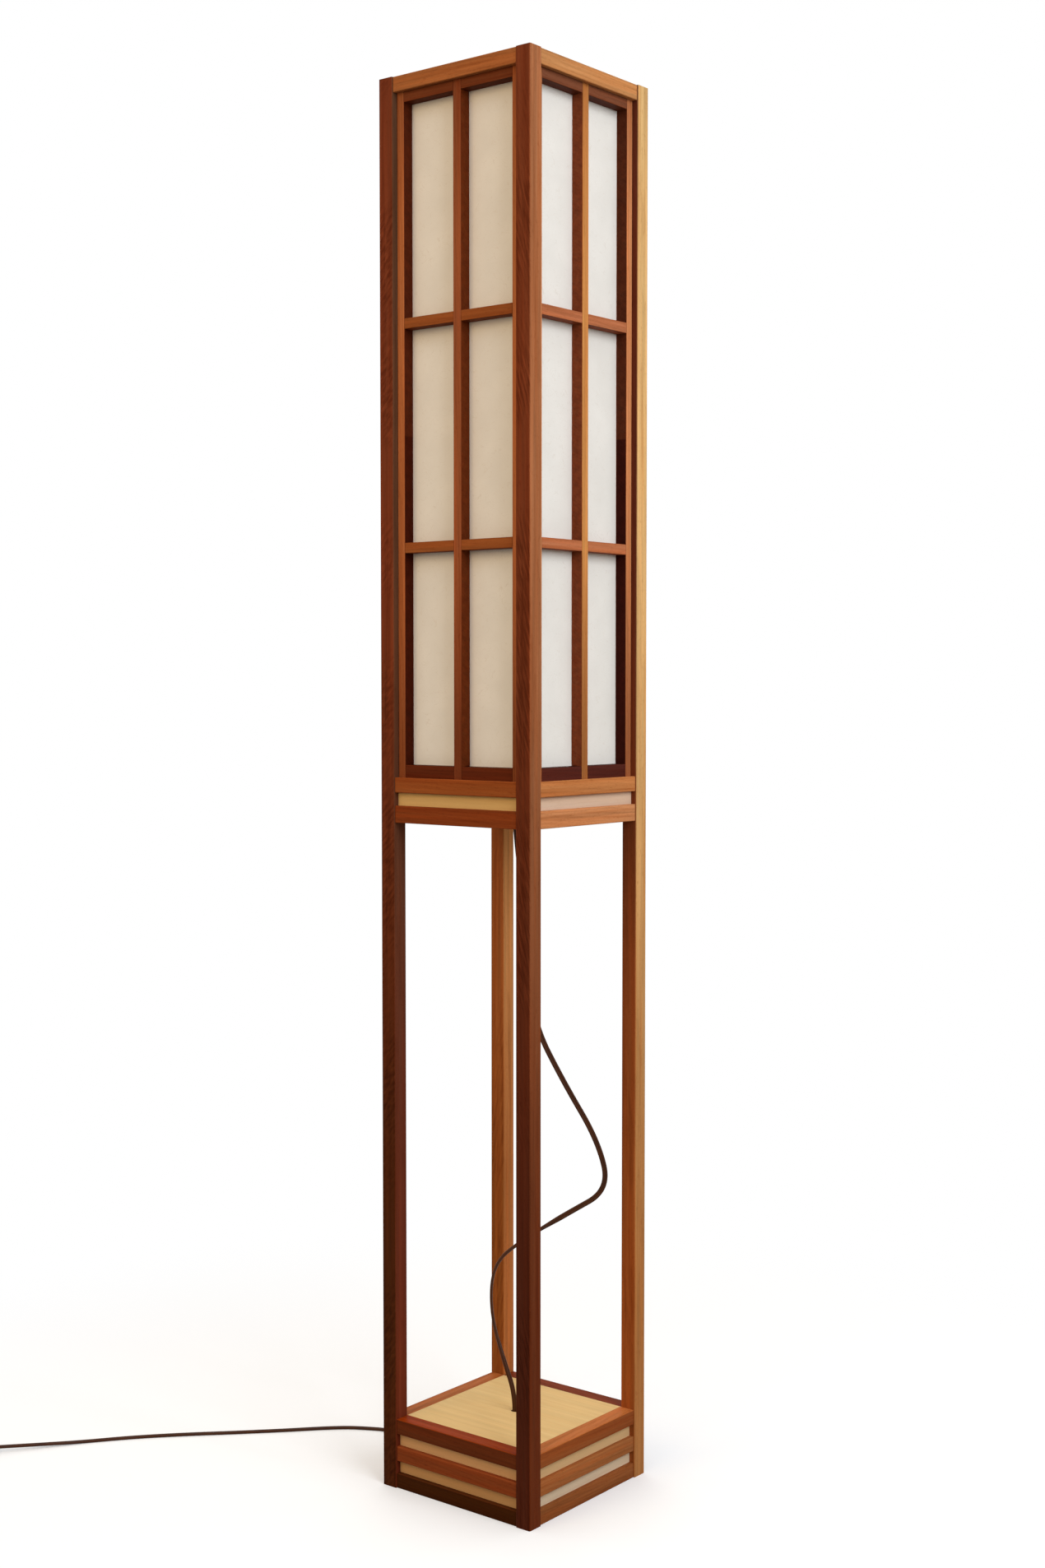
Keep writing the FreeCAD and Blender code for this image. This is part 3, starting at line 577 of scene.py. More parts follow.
# %% Figured wood
FIBRE = (90 * MM, 1.6 * MM)
DRIFT = (260 * MM, 7 * MM)
WARMTH = (180 * MM, 5 * MM)
SWAY = (70 * MM, 9 * MM)
PORE = (5 * MM, 0.5 * MM)
FLECK = (9 * MM, 3 * MM)
PATCH = (120 * MM, 400 * MM)
GRAIN_RELIEF = 0.04 * MM
OIL_SPECULAR = 0.03
# Along a ring: the share of its width, and how light it is there.
RING_SHARES = ((0, 0.62), (0.45, 0.66), (0.80, 0.18), (0.92, 0.22), (1, 0.62))
# Where in the noise a pore or a fleck starts, and where it is full.
PORE_SHARES = (0.60, 0.70)
FLECK_SHARES = (0.66, 0.74)
# How far a ribbon darkens the wood, and how far it lightens it.
FLAME_SHARES = (-0.7, 0.3)
# What each of these does to the red, green and blue of the stick's own tone.
DEEP_SHARE = (0.62, 0.54, 0.46, 1)
PALE_SHARE = (1.34, 1.40, 1.44, 1)
PORE_SHARE = (0.66, 0.60, 0.56, 1)
FLECK_SHARE = (0.80, 0.70, 0.62, 1)
# Painted shade on the inner sides of the panels' sticks.
REVEAL_SHADE_SHARE = (0.45, 0.32, 0.27, 1)
END_SHARE = (0.56, 0.46, 0.42, 1)
COOL_SHARE = (0.95, 1.03, 1.08, 1)
WARM_SHARE = (1.05, 0.96, 0.86, 1)


def growth_rings(tree, grain, rings, sway):
    count = add(tree, "VectorMath", {"operation": "DOT_PRODUCT"}, {0: grain, 1: rings}).outputs["Value"]
    swayed = calc(tree, "MULTIPLY_ADD", streaks(tree, grain, *SWAY, 0.3), sway, count)
    return ramp(tree, calc(tree, "FRACT", swayed), [(place, grey(level)) for place, level in RING_SHARES])


def flames(tree, grain, aside, slant, length, width, strength):
    """Slanted ribbons: how much each lightens or darkens, and where on the stick they show."""
    rise = axes(tree, grain)[0]
    slanted = add(tree, "VectorMath", {"operation": "MULTIPLY_ADD"}, {0: rise, 1: (0, slant, 0), 2: grain})
    low, high = [share * strength for share in FLAME_SHARES]
    lift = span(tree, streaks(tree, slanted, length, width, 0.2, 2.0), to_low=low, to_high=high)
    flat = calc(tree, "SUBTRACT", 1.0, aside)
    return lift, calc(tree, "MULTIPLY", streaks(tree, grain, *PATCH, 0.12, 0.0), flat)


def figured_wood(name, layout, tones, rings, sway=1.2, figure=(0.26, 0.30, 0.44), polish=(0.42, 0.56),
                 marks=1.0, ribbon=None):
    """tones: front and back sticks where the second mask is 0 and 1, then the same for left and right ones.
    rings: growth rings met in a metre along the grain and on the two ways across it.
    figure: how much rings, fibres and drift each show; polish: roughness from pale to dark wood.
    ribbon: how far the fibres of flat-sawn faces slant, a ribbon's length and width, and its strength."""
    material, tree = blank_material(name)
    grain, aside, second, *darker_masks = layout(tree)
    late = growth_rings(tree, grain, rings, sway)
    fibre = streaks(tree, grain, *FIBRE, 0.22)
    drift = streaks(tree, grain, *DRIFT, 0.25, 1.0)
    total = (1 - sum(figure)) / 2
    for part, share in zip((late, fibre, drift), figure):
        total = calc(tree, "MULTIPLY_ADD", part, share, total)
    if ribbon:
        total = calc(tree, "MULTIPLY_ADD", *flames(tree, grain, aside, *ribbon), total)
    front = blend(tree, second, ink(tones[0]), ink(tones[1]))
    flank = blend(tree, second, ink(tones[2]), ink(tones[3]))
    shade = blend(tree, total, DEEP_SHARE, PALE_SHARE)
    color = blend(tree, 1.0, blend(tree, aside, front, flank), shade, "MULTIPLY")
    warmth = blend(tree, streaks(tree, grain, *WARMTH, 0.2, 1.0), COOL_SHARE, WARM_SHARE)
    color = blend(tree, marks, color, warmth, "MULTIPLY")
    # Painted shade on the inner sides of panel sticks, and a darker tone towards the ends of standing ones.
    for mask, share in zip(darker_masks, (REVEAL_SHADE_SHARE, END_SHARE)):
        color = deepened(tree, mask, color, share)
    pore, fleck = [span(tree, streaks(tree, grain, *size, 0.5, 1.0), *edge, 0.0, marks / 2)
                   for size, edge in ((PORE, PORE_SHARES), (FLECK, FLECK_SHARES))]
    color = deepened(tree, fleck, deepened(tree, pore, color, PORE_SHARE), FLECK_SHARE)
    rough = span(tree, total, to_low=polish[1], to_high=polish[0])
    relief = calc(tree, "SUBTRACT", fibre, pore)
    bump = add(tree, "Bump", {}, {"Strength": 0.6, "Distance": GRAIN_RELIEF, "Height": relief})
    shader = add(tree, "BsdfPrincipled", {}, {"Base Color": color, "Roughness": rough, "IOR": 1.45,
                                              "Specular IOR Level": OIL_SPECULAR, "Normal": bump})
    add(tree, "OutputMaterial", {}, {"Surface": shader})
    return material


print("levels of light across a growth ring:", len(RING_SHARES))

# %% [markdown]
# Sandpaper takes the sharpness off every stick. Each solid's triangles are
# first welded and joined into whole flat faces, and then the edges are eased.
# The stiles and rails of a panel meet face on face and share corners, so they
# are parted first: one weld over both would break their skins. A face is the
# stile's where a point just under it lies outside the panel's opening.

# %% Ease the edges
ARRIS = 0.6 * MM
FLAT_ANGLE = math.radians(1)
EDGE_ANGLE = math.radians(30)
WELD_REACH = 0.001 * MM
UNDER_SKIN = 0.1 * MM


def parted_sticks():
    tree = bpy.data.node_groups.new("parted_sticks", "GeometryNodeTree")
    for way in ("INPUT", "OUTPUT"):
        tree.interface.new_socket("Geometry", in_out=way, socket_type="NodeSocketGeometry")
    under = add(tree, "VectorMath", {"operation": "MULTIPLY_ADD"},
                {0: add(tree, "GeometryNodeInputNormal"), 1: (-UNDER_SKIN,) * 3,
                 2: add(tree, "GeometryNodeInputPosition")})
    x, y, _ = axes(tree, under)
    aside = calc(tree, "MINIMUM", calc(tree, "ABSOLUTE", x), calc(tree, "ABSOLUTE", y))
    in_stile = calc(tree, "GREATER_THAN", aside, panel_opening)
    parted = add(tree, "GeometryNodeSeparateGeometry", {"domain": "FACE"},
                 {"Geometry": add(tree, "NodeGroupInput"), "Selection": in_stile})
    sticks = add(tree, "GeometryNodeJoinGeometry")
    for part in parted.outputs[:2]:
        welded = add(tree, "GeometryNodeMergeByDistance", {},
                     {"Geometry": part, "Distance": WELD_REACH})
        tree.links.new(welded.outputs[0], sticks.inputs[0])
    add(tree, "NodeGroupOutput", {}, {0: sticks})
    return tree


def ease(names, width, sticks=None):
    for name in names:
        if sticks:
            nodes[name].modifiers.new("sticks", "NODES").node_group = sticks
        else:
            nodes[name].modifiers.new("weld", "WELD").merge_threshold = WELD_REACH
        flat = nodes[name].modifiers.new("flat", "DECIMATE")
        flat.decimate_type = "DISSOLVE"
        flat.angle_limit = FLAT_ANGLE
        arris = nodes[name].modifiers.new("arris", "BEVEL")
        arris.width = width
        arris.segments = 2
        arris.angle_limit = EDGE_ANGLE


ease([name for name in nodes if name.startswith("shoji_frame")], ARRIS, parted_sticks())
ease([name for name in nodes if name.startswith("shoji_lattice") or "rail" in name], ARRIS)
ease(["stem_nuts"], ARRIS / 2)
print("eased:", len([piece for piece in nodes.values() if "arris" in piece.modifiers]))

# %% [markdown]
# Each post is its own board. The dark ones are darkest at the foot. Each pair of faces has its own tones,
# partly for the cut of the wood and partly as painted light and shade. The table gives a post's tones, the
# count of rings along and across it, and its ribbons. The low sheen of the oil shows the figure and only a
# soft edge of light.

# %% Dress the posts
POSTS = {
    "post_front_right": (("#4d2112", "#75371e", "#672e14", "#a76640"), (4, 190, 60),
                         (0.28, 22 * MM, 2.4 * MM, 0.9)),
    "post_front_left": (("#49220b", "#76371f", "#6d2f1c", "#62412d"), (5, -95, 50),
                        (-0.7, 9 * MM, 4.5 * MM, 0.8)),
    "post_back_right": (("#9d5123", "#693322", "#b67844", "#e2af71"), (2, 90, 35),
                        (0.1, 40 * MM, 4 * MM, 0.3)),
    "post_back_left": (("#945122", "#ba6738", "#b76d3a", "#e6a768"), (3, 140, 60),
                       (-0.2, 30 * MM, 3 * MM, 0.45)),
}
for name, (tones, rings, ribbon) in POSTS.items():
    dress([name], figured_wood("oiled_" + name, standing_grain, tones, rings, ribbon=ribbon))
print("posts dressed:", len(POSTS))

# %% [markdown]
# The rails are straight-grained, with fine lines along them. Their tones are those of the front and back,
# then of the left and right, each with that of the tops beside it. The tops' lighter tones are painted
# light. The base's rails are mostly toned darker than the apron's, the bottom ones most: painted shade near
# the floor.

# %% Dress the rails
RAILS = {
    "top_rails": (["top_rail_" + side for side in SIDES], ("#a96639", "#a96639", "#c38653", "#c38653")),
    "upper_apron": (["apron_upper_rails"], ("#914a21", "#9d5024", "#c47944", "#c47944")),
    "lower_apron": (["apron_lower_rails"], ("#813a18", "#813a18", "#ca8455", "#ca8455")),
    "base_top": (["base_top_rails"], ("#602b12", "#8e3508", "#944d24", "#ba6b36")),
    "base_middle": (["base_middle_rails"], ("#89401e", "#89401e", "#9e5c31", "#9e5c31")),
    "base_bottom": (["base_bottom_rails"], ("#3d1b03", "#54290f", "#92532b", "#92532b")),
}
for number, (name, (pieces, tones)) in enumerate(RAILS.items()):
    rings = (8 + 3 * number, 150 - 10 * number, 190 + 15 * number)
    dress(pieces, figured_wood("oiled_" + name, lying_grain, tones, rings))
print("rails dressed:", len(RAILS))

# %% [markdown]
# The sticks of the panels are thin. Their inner sides are painted with shade, darker than the fronts, and
# make the deep lines round each pane. A frame's rails are toned darker than its stiles, also as painted
# shade.

# %% Dress the shoji panels
STICKS = {
    "shoji_frame": (True, ("#602812", "#b66b3f", "#53231a", "#d78b5a"), (10, 130, 210)),
    "shoji_lattice": (False, ("#975228", "#985230", "#b86c46", "#d28b4c"), (12, 120, 230)),
}
for name, (outer, tones, rings) in STICKS.items():
    dress([name + "_" + side for side in SIDES],
          figured_wood("oiled_" + name, panel_grain(outer), tones, rings))
print("kinds of panel stick dressed:", len(STICKS))

# %% [markdown]
# ## Pale boards
# The base's lid and the boards behind the rails are birch plywood, sealed but
# not stained, so they are much lighter than the frame, and nearly plain: the
# veneer is peeled, and its rings lie almost flat in it. The boards that
# nobody sees are the same ply, left raw, which looks drier and rougher.

# %% Dress the boards
SEALED = (0.50, 0.60)
strip_ply = {"sway": 1.8, "figure": (0.08, 0.08, 0.14), "polish": SEALED, "marks": 0.25}
dress(["base_top_board"],
      figured_wood("sealed_birch_lid", board_grain, ("#debb81", "#debb81", "#bd955c", "#bd955c"),
                   (3, 45, 20), sway=2.4, figure=(0.07, 0.05, 0.12), polish=SEALED, marks=0.2))
# The lower strips' tones hold painted light and shade: paler and cooler on the right, as if lit from the
# floor.
dress(["base_side_boards", "base_cable_board"],
      figured_wood("sealed_birch_sides", strip_grain, ("#d7a673", "#c79662", "#d6b07f", "#d8c0a2"),
                   (4, 60, 70), **strip_ply))
dress(["apron_boards"],
      figured_wood("sealed_birch_apron", lying_grain, ("#dfb676", "#dfb676", "#dbbca1", "#dbbca1"),
                   (4, 70, 60), **strip_ply))
dress(["base_cleats", "lantern_cleats", "base_floor_board", "lantern_floor_board"],
      figured_wood("raw_ply", board_grain, ("#cfae7d", "#cfae7d", "#b58f5c", "#b58f5c"),
                   (5, 90, 120), sway=1.5, figure=(0.20, 0.24, 0.20), polish=(0.66, 0.78), marks=0.4))
print("woods so far:", len(bpy.data.materials))

# %% [markdown]
# ## Paper
# Shoji paper is laminated: a sheet of long mulberry fibres between two clear
# films. It is cream rather than white, a little cloudy against the light, and
# its fibres lie at all angles. Contour lines of a soft noise curl and cross
# like such fibres do, so they are drawn that way. The rough sheet has no
# highlight and lets the sticks' shadows show.

# %% Shoji paper
CLOUD = 35 * MM
FIBRE_CURL = 9 * MM
FIBRE_LINE_SHARE = 0.012
PAPER_RELIEF = 0.05 * MM


def shoji_paper():
    material, tree = blank_material("shoji_paper")
    color = ramp(tree, clouds(tree, CLOUD, 2.0), [(0.3, ink("#ece5da")), (0.7, ink("#f2ebe0"))])
    curl = clouds(tree, FIBRE_CURL, 1.0, 0.8)
    near = calc(tree, "ABSOLUTE", calc(tree, "SUBTRACT", curl, 0.5))
    fibre = span(tree, near, 0.0, FIBRE_LINE_SHARE, 1.0, 0.0)
    color = blend(tree, fibre, color, ink("#e9e0d3"))
    bump = add(tree, "Bump", {}, {"Strength": 0.5, "Distance": PAPER_RELIEF, "Height": fibre})
    shader = add(tree, "BsdfPrincipled", {}, {"Base Color": color, "Roughness": 0.85, "IOR": 1.5,
                                              "Normal": bump})
    add(tree, "OutputMaterial", {}, {"Surface": shader})
    return material


dress(["shoji_paper_" + side for side in SIDES], shoji_paper())
print("sheets of paper:", len(SIDES))

# %% [markdown]
# ## Turned and threaded parts
# The lampholder is spun from thin brass. Rolled beads stiffen it, and its rim
# is rolled so that it can't cut a hand. The stem is threaded pipe, the bulb's
# cap and the shell that takes it have a coarse round thread, and the screws
# have crossed recesses. All of these are turned shapes, so one function makes
# them from rows of radius and height. Where a radius changes with the angle,
# it makes a thread or a recess.

# %% Turning
def thread(radius, depth, pitch, height):
    """The radius at each angle of a ring that is part of a round thread."""
    def reach(angle):
        return radius - depth * (1 - math.cos(math.tau * height / pitch - angle)) / 2
    return reach


def skin(shape, rings, hollow=False):
    """Closes rings of vertices into a skin, round to its first ring or with a cap at each end."""
    onward = rings[1:] + rings[:1] if hollow else rings[1:]
    for low, high in zip(rings, onward):
        for step in range(len(low)):
            after = (step + 1) % len(low)
            shape.faces.new((low[step], low[after], high[after], high[step]))
    if not hollow:
        shape.faces.new(list(reversed(rings[0])))
        shape.faces.new(rings[-1])


def finished(name, shape, body, instead=None):
    bmesh.ops.recalc_face_normals(shape, faces=shape.faces)
    mesh = bpy.data.meshes.new(name)
    shape.to_mesh(mesh)
    shape.free()
    return place_mesh(name, mesh, body, instead)


def turned(name, rows, steps, body="frame", hollow=True, places=(Matrix(),), instead=None):
    shape = bmesh.new()
    for place in places:
        rings = []
        for radius, height in rows:
            ring = []
            for step in range(steps):
                angle = math.tau * step / steps
                reach = radius(angle) if callable(radius) else radius
                spot = Vector((reach * math.cos(angle), reach * math.sin(angle), height))
                ring.append(shape.verts.new(place @ spot))
            rings.append(ring)
        skin(shape, rings, hollow)
    return finished(name, shape, body, instead)


def rows_mm(pairs):
    return [(radius * MM, height * MM) for radius, height in pairs]


def aimed(start, direction):
    """The place of something turned that starts at one point and looks in one direction."""
    return Matrix.Translation(start) @ direction.to_track_quat("Z", "X").to_matrix().to_4x4()


print("a thread 1 mm deep on a radius of 5 mm goes in to", thread(5, 1, 1, 0)(math.pi))

# %% [markdown]
# The stem is zinc-plated pipe with a thread from end to end. Its real pitch
# of 0.94 mm is too fine to see, so it is drawn at 1.6 mm.

# %% Lamp stem
STEM_RADIUS = 5.0 * MM
STEM_BORE = 3.5 * MM
STEM_PITCH = 1.6 * MM
STEM_DEPTH = 0.5 * MM
STEPS_PER_PITCH = 6

stem_foot, stem_top = (corner.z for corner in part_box("lamp_stem"))
stem_steps = round((stem_top - stem_foot) / STEM_PITCH * STEPS_PER_PITCH)
stem_heights = [stem_foot + (stem_top - stem_foot) * step / stem_steps for step in range(stem_steps + 1)]
stem_rows = [(thread(STEM_RADIUS, STEM_DEPTH, STEM_PITCH, height), height) for height in stem_heights]
stem_rows += [(STEM_BORE, stem_top), (STEM_BORE, stem_foot)]
threaded_stem = turned("threaded_stem", stem_rows, 28, instead="lamp_stem")
print("stem rings:", len(stem_rows))

# %% [markdown]
# The cap is dished over the end of the stem, and the shell slides up into it.
# Their outlines run up the outside and down the inside of the sheet, which is
# 0.4 to 0.9 mm thick.

# %% Lampholder
cap_rows = rows_mm([
    (7.0, 928.0), (7.0, 935.0), (7.5, 936.2), (9.6, 937.8), (13.0, 940.2), (15.8, 942.0), (17.0, 943.2),
    (17.4, 944.6), (17.4, 951.4), (17.8, 951.9), (17.8, 952.6), (17.4, 953.0), (16.5, 953.0), (16.5, 945.0),
    (15.6, 943.6), (12.4, 941.4), (9.0, 939.0), (6.6, 937.6), (5.1, 936.6), (5.1, 928.0),
])
shell_rows = rows_mm([
    (16.3, 944.2), (16.3, 957.4), (16.6, 957.9), (16.75, 958.6), (16.6, 959.3), (16.3, 959.8), (16.3, 974.4),
    (16.6, 974.9), (16.75, 975.6), (16.6, 976.3), (16.3, 976.8), (16.3, 985.4), (16.6, 985.9), (16.9, 986.7),
    (16.8, 987.5), (16.3, 988.0), (15.8, 987.6), (15.5, 986.8), (15.5, 944.2),
])
spun_cap = turned("spun_cap", cap_rows, 64, instead="lampholder_cap")
spun_shell = turned("spun_shell", shell_rows, 64, instead="lampholder_shell")
print("holder top:", round(max(vertex.co.z for vertex in spun_shell.data.vertices), 4))

# %% [markdown]
# The bulb's cap and the shell round it have the same coarse, rolled thread.
# Each keeps to its own side of the plain bore between them, so that the bulb
# can leave the shell.

# %% Round thread of the lampholder and the bulb
LAMP_PITCH = 3.63
LAMP_DEPTH = 0.55
RINGS_PER_PITCH = 9
SHEET = 0.4 * MM


def lamp_thread(radius, foot, top):
    count = round((top - foot) / LAMP_PITCH * RINGS_PER_PITCH)
    heights = [(foot + (top - foot) * step / count) * MM for step in range(count + 1)]
    return [(thread(radius * MM, LAMP_DEPTH * MM, LAMP_PITCH * MM, height), height) for height in heights]


shell_thread = lamp_thread(13.35 + LAMP_DEPTH, 959.6, 983.4)
shell_back = [(lambda angle, reach=reach: reach(angle) + SHEET, height)
              for reach, height in reversed(shell_thread)]
shell_top = rows_mm([(13.4, 984), (13.8, 984)])
shell_foot = rows_mm([(13.8, 959), (13.4, 959)])
rolled_shell = turned("rolled_shell", shell_thread + shell_top + shell_back + shell_foot, 48,
                      instead="lampholder_screw_shell")
cap_foot = rows_mm([(0.3, 960.0), (3.4, 960.0), (4.4, 960.7), (4.5, 962.0), (9.0, 963.6), (12.2, 966.0)])
cap_top = rows_mm([(13.0, 984.2), (13.0, 985.6), (12.6, 986.0), (12.2, 986.0), (12.2, 985.0), (0.3, 985.0)])
rolled_cap = turned("rolled_cap", cap_foot + lamp_thread(13.0, 966.6, 983.6) + cap_top, 48,
                    body="bulb", hollow=False, instead="bulb_cap")
print("rings of the shell's thread:", len(shell_thread))

# %% [markdown]
# ## Screws
# Each screw is turned once around its own axis and then set where the
# construction has it. Its box there gives the axis, and its wider end is the
# head.

# %% Crossed-recess screws
SCREW_PITCH = 1.6 * MM
SCREW_DEPTH = 0.35 * MM
SHANK_RADIUS = 1.5 * MM
HEAD_HEIGHT = 2.0 * MM
THREAD_STEP = 0.25 * MM


def crossed(size):
    """A cross: four lobes, each ending round."""
    def reach(angle):
        return size * (0.36 + 0.64 * abs(math.cos(2 * angle)) ** 6)
    return reach


def loose_parts(mesh):
    shape = bmesh.new()
    shape.from_mesh(mesh)
    bmesh.ops.remove_doubles(shape, verts=shape.verts, dist=WELD_REACH)
    left = set(shape.verts)
    parts = []
    while left:
        part = [left.pop()]
        for vertex in part:
            for edge in vertex.link_edges:
                other = edge.other_vert(vertex)
                if other in left:
                    left.remove(other)
                    part.append(other)
        parts.append([vertex.co.copy() for vertex in part])
    shape.free()
    return parts


def screw_place(points):
    """Where the underside of the head is, and which way the head looks."""
    low = Vector([min(point[axis] for point in points) for axis in range(3)])
    high = Vector([max(point[axis] for point in points) for axis in range(3)])
    middle = (low + high) / 2
    axis = max(range(3), key=lambda item: high[item] - low[item])

    def off_axis(point):
        aside = point - middle
        aside[axis] = 0
        return aside.length

    direction = Vector()
    direction[axis] = 1 if max(points, key=off_axis)[axis] > middle[axis] else -1
    top = middle + direction * (high - low)[axis] / 2
    return aimed(top - direction * HEAD_HEIGHT, direction)


screw_rows = rows_mm([(0.12, -16.0), (0.7, -14.8)])
screw_rows += [(thread(SHANK_RADIUS, SCREW_DEPTH, SCREW_PITCH, -THREAD_STEP * step), -THREAD_STEP * step)
               for step in range(56, 15, -1)]
screw_rows += rows_mm([(1.4, -3.6), (1.5, 0.0), (3.0, 0.0), (3.0, 0.7), (2.75, 1.4), (2.2, 1.85)])
screw_rows += [(crossed(1.75 * MM), HEAD_HEIGHT), (crossed(1.35 * MM), 1.0 * MM), (0.12 * MM, 0.7 * MM)]
screw_parts = loose_parts(nodes["wood_screws"].data)
crossed_screws = turned("crossed_screws", screw_rows, 32, hollow=False,
                        places=[screw_place(points) for points in screw_parts], instead="wood_screws")
print("screws:", len(screw_parts))

# %% [markdown]
# ## Grips and the coil's tie
# Moulded parts that a hand pulls or presses have ribs: two rows beside the
# plug's tail, and three on each half of the rocker. A rib is half round, and
# its ends are rounded off.

# %% Ribs
RIB_STEPS = 6
RIB_SINK = 0.15 * MM
# Along a rib: the share of its length from its middle, and of its full size there.
RIB_SHARES = ((-0.5, 0.25), (-0.46, 0.7), (-0.4, 1.0), (0.4, 1.0), (0.46, 0.7), (0.5, 0.25))


def ribs(name, places, length, width, height, body):
    """places holds each rib's middle, the way along it and the way out."""
    shape = bmesh.new()
    for middle, along, out in places:
        across = along.cross(out) * width / 2
        rings = []
        for share, size in RIB_SHARES:
            ring = []
            for step in range(RIB_STEPS + 1):
                angle = math.pi * step / RIB_STEPS
                rise = height * size * math.sin(angle) - (RIB_SINK if step in (0, RIB_STEPS) else 0)
                spot = middle + along * length * share + out * rise + across * size * math.cos(angle)
                ring.append(shape.verts.new(spot))
            rings.append(ring)
        skin(shape, rings)
    return finished(name, shape, body)


ROCKER_AXIS = 9.0 * MM
ROCKER_VALLEY = 5.2 * MM
ROCKER_TILT = math.radians(7)
# How far the ribs are from the rocker's axis, and from where the cord enters the plug.
ROCKER_REACHES = (2.0 * MM, 3.6 * MM, 5.2 * MM)
PLUG_REACHES = (25 * MM, 28 * MM, 31 * MM, 34 * MM)
UP = Vector(UPWARD)
across_switch = UP.cross(heading)
switch_middle = switch_start + heading * SWITCH_LENGTH / 2
switch_middle.z = ROCKER_AXIS

rocker_places = []
for side in (-1, 1):
    for reach in ROCKER_REACHES:
        run = side * reach
        rise = ROCKER_VALLEY + abs(run) * math.tan(ROCKER_TILT)
        turn = Matrix.Rotation(-ROCKER_TILT, 3, across_switch)
        out = Matrix.Rotation(-ROCKER_TILT * (1 + side), 3, across_switch) @ UP
        rocker_places.append((switch_middle + turn @ (heading * run + UP * rise), across_switch, out))
rocker_ribs = ribs("rocker_ribs", rocker_places, 8.6 * MM, 0.9 * MM, 0.4 * MM, "rocker")

PLUG_HALF_WIDTH = 11.0 * MM
plug_start = Vector((coil_route[-1].x, coil_route[-1].y, 0))
plug_middle = plug_start + UP * PLUG_HEIGHT / 2
across_plug = UP.cross(plug_heading)
plug_places = []
for side in (-1, 1):
    out = across_plug * side
    for reach in PLUG_REACHES:
        plug_places.append((plug_middle + plug_heading * reach + out * PLUG_HALF_WIDTH, UP, out))
plug_ribs = ribs("plug_ribs", plug_places, 9.0 * MM, 1.5 * MM, 0.7 * MM, "frame")
print("ribs:", len(rocker_places), "on the rocker,", len(plug_places), "on the plug")

# %% [markdown]
# The plug's tail and the boot at the base bend where the cord does, so both
# are moulded in rings, which lets them flex. Each tapers along its length.

# %% Ringed sleeves
SLEEVE_LENGTH = 15 * MM
SLEEVE_PITCH = 3.0 * MM
SLEEVE_RIDGE = 0.5 * MM
SLEEVE_BORE = 3.3 * MM
SLEEVE_STEPS = 8
BOOT_SHOULDER = 18 * MM


def sleeve(name, start, direction, first, last):
    count = round(SLEEVE_LENGTH / SLEEVE_PITCH) * SLEEVE_STEPS
    rows = []
    for step in range(count + 1):
        share = step / count
        ridge = SLEEVE_RIDGE * (1 - math.cos(math.tau * step / SLEEVE_STEPS)) / 2
        rows.append((first + (last - first) * share + ridge, SLEEVE_LENGTH * share))
    rows += [(SLEEVE_BORE, SLEEVE_LENGTH), (SLEEVE_BORE, 0)]
    return turned(name, rows, 40, places=[aimed(start, direction)])


plug_sleeve = sleeve("plug_sleeve", plug_middle, plug_heading, 3.85 * MM, 5.4 * MM)
boot_start = Vector((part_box("cord_bushing")[0].x + BOOT_SHOULDER, 0, exit_height))
boot_sleeve = sleeve("boot_sleeve", boot_start, Vector((-1, 0, 0)), 5.1 * MM, 4.0 * MM)
print("rings on a sleeve:", round(SLEEVE_LENGTH / SLEEVE_PITCH))

# %% [markdown]
# The coil is held by a tie, a flat strip with a wire in it, led round all the
# turns with rounded corners. Its ends are twisted together on top.

# %% Tie round the coil
TIE_WIDTH = 4.0 * MM
TIE_THICK = 0.3 * MM
TIE_INSIDE = 24.2 * MM
TIE_OUTSIDE = 45.9 * MM
TIE_FOOT = 0.2 * MM
TIE_TOP = 13.1 * MM
TIE_CORNER = 3.0 * MM
TIE_TURN = math.radians(-75)
CORNER_STEPS = 5
TWIST_PLACE = 36 * MM
TWIST_HEIGHT = 11 * MM
TWIST_LEAN = 5 * MM
TWIST_TURNS = 2.5
TWIST_STEPS = 36

tie_angle = math.atan2(-sideways.y, -sideways.x) + TIE_TURN
tie_out = Vector((math.cos(tie_angle), math.sin(tie_angle), 0))
tie_onward = UP.cross(tie_out)
coil_foot = Vector((coil_centre.x, coil_centre.y, 0))


def tie_loop():
    outer = TIE_OUTSIDE - TIE_CORNER
    inner = TIE_INSIDE + TIE_CORNER
    low = TIE_FOOT + TIE_CORNER
    high = TIE_TOP - TIE_CORNER
    line, sides = [], []
    for reach, height, start in ((outer, low, -90), (outer, high, 0), (inner, high, 90), (inner, low, 180)):
        for step in range(CORNER_STEPS + 1):
            angle = math.radians(start + 90 * step / CORNER_STEPS)
            out = tie_out * math.cos(angle) + UP * math.sin(angle)
            line.append(coil_foot + tie_out * reach + UP * height + out * TIE_CORNER)
            sides.append((out.cross(tie_onward) * -1, out))
    return line, sides


def tie_ends():
    foot = coil_foot + tie_out * TWIST_PLACE + UP * TIE_TOP
    line, sides = [], []
    for step in range(TWIST_STEPS + 1):
        share = step / TWIST_STEPS
        line.append(foot + UP * TWIST_HEIGHT * share + tie_out * TWIST_LEAN * share ** 2)
        along = (UP * TWIST_HEIGHT + tie_out * 2 * TWIST_LEAN * share).normalized()
        angle = math.tau * TWIST_TURNS * share
        thin = tie_out * math.cos(angle) + tie_onward * math.sin(angle)
        sides.append((along, (thin - along * thin.dot(along)).normalized()))
    return line, sides


def strip(width, thick):
    x, y = width / 2, thick / 2
    return [(x, -y), (x, y), (-x, y), (-x, -y)]


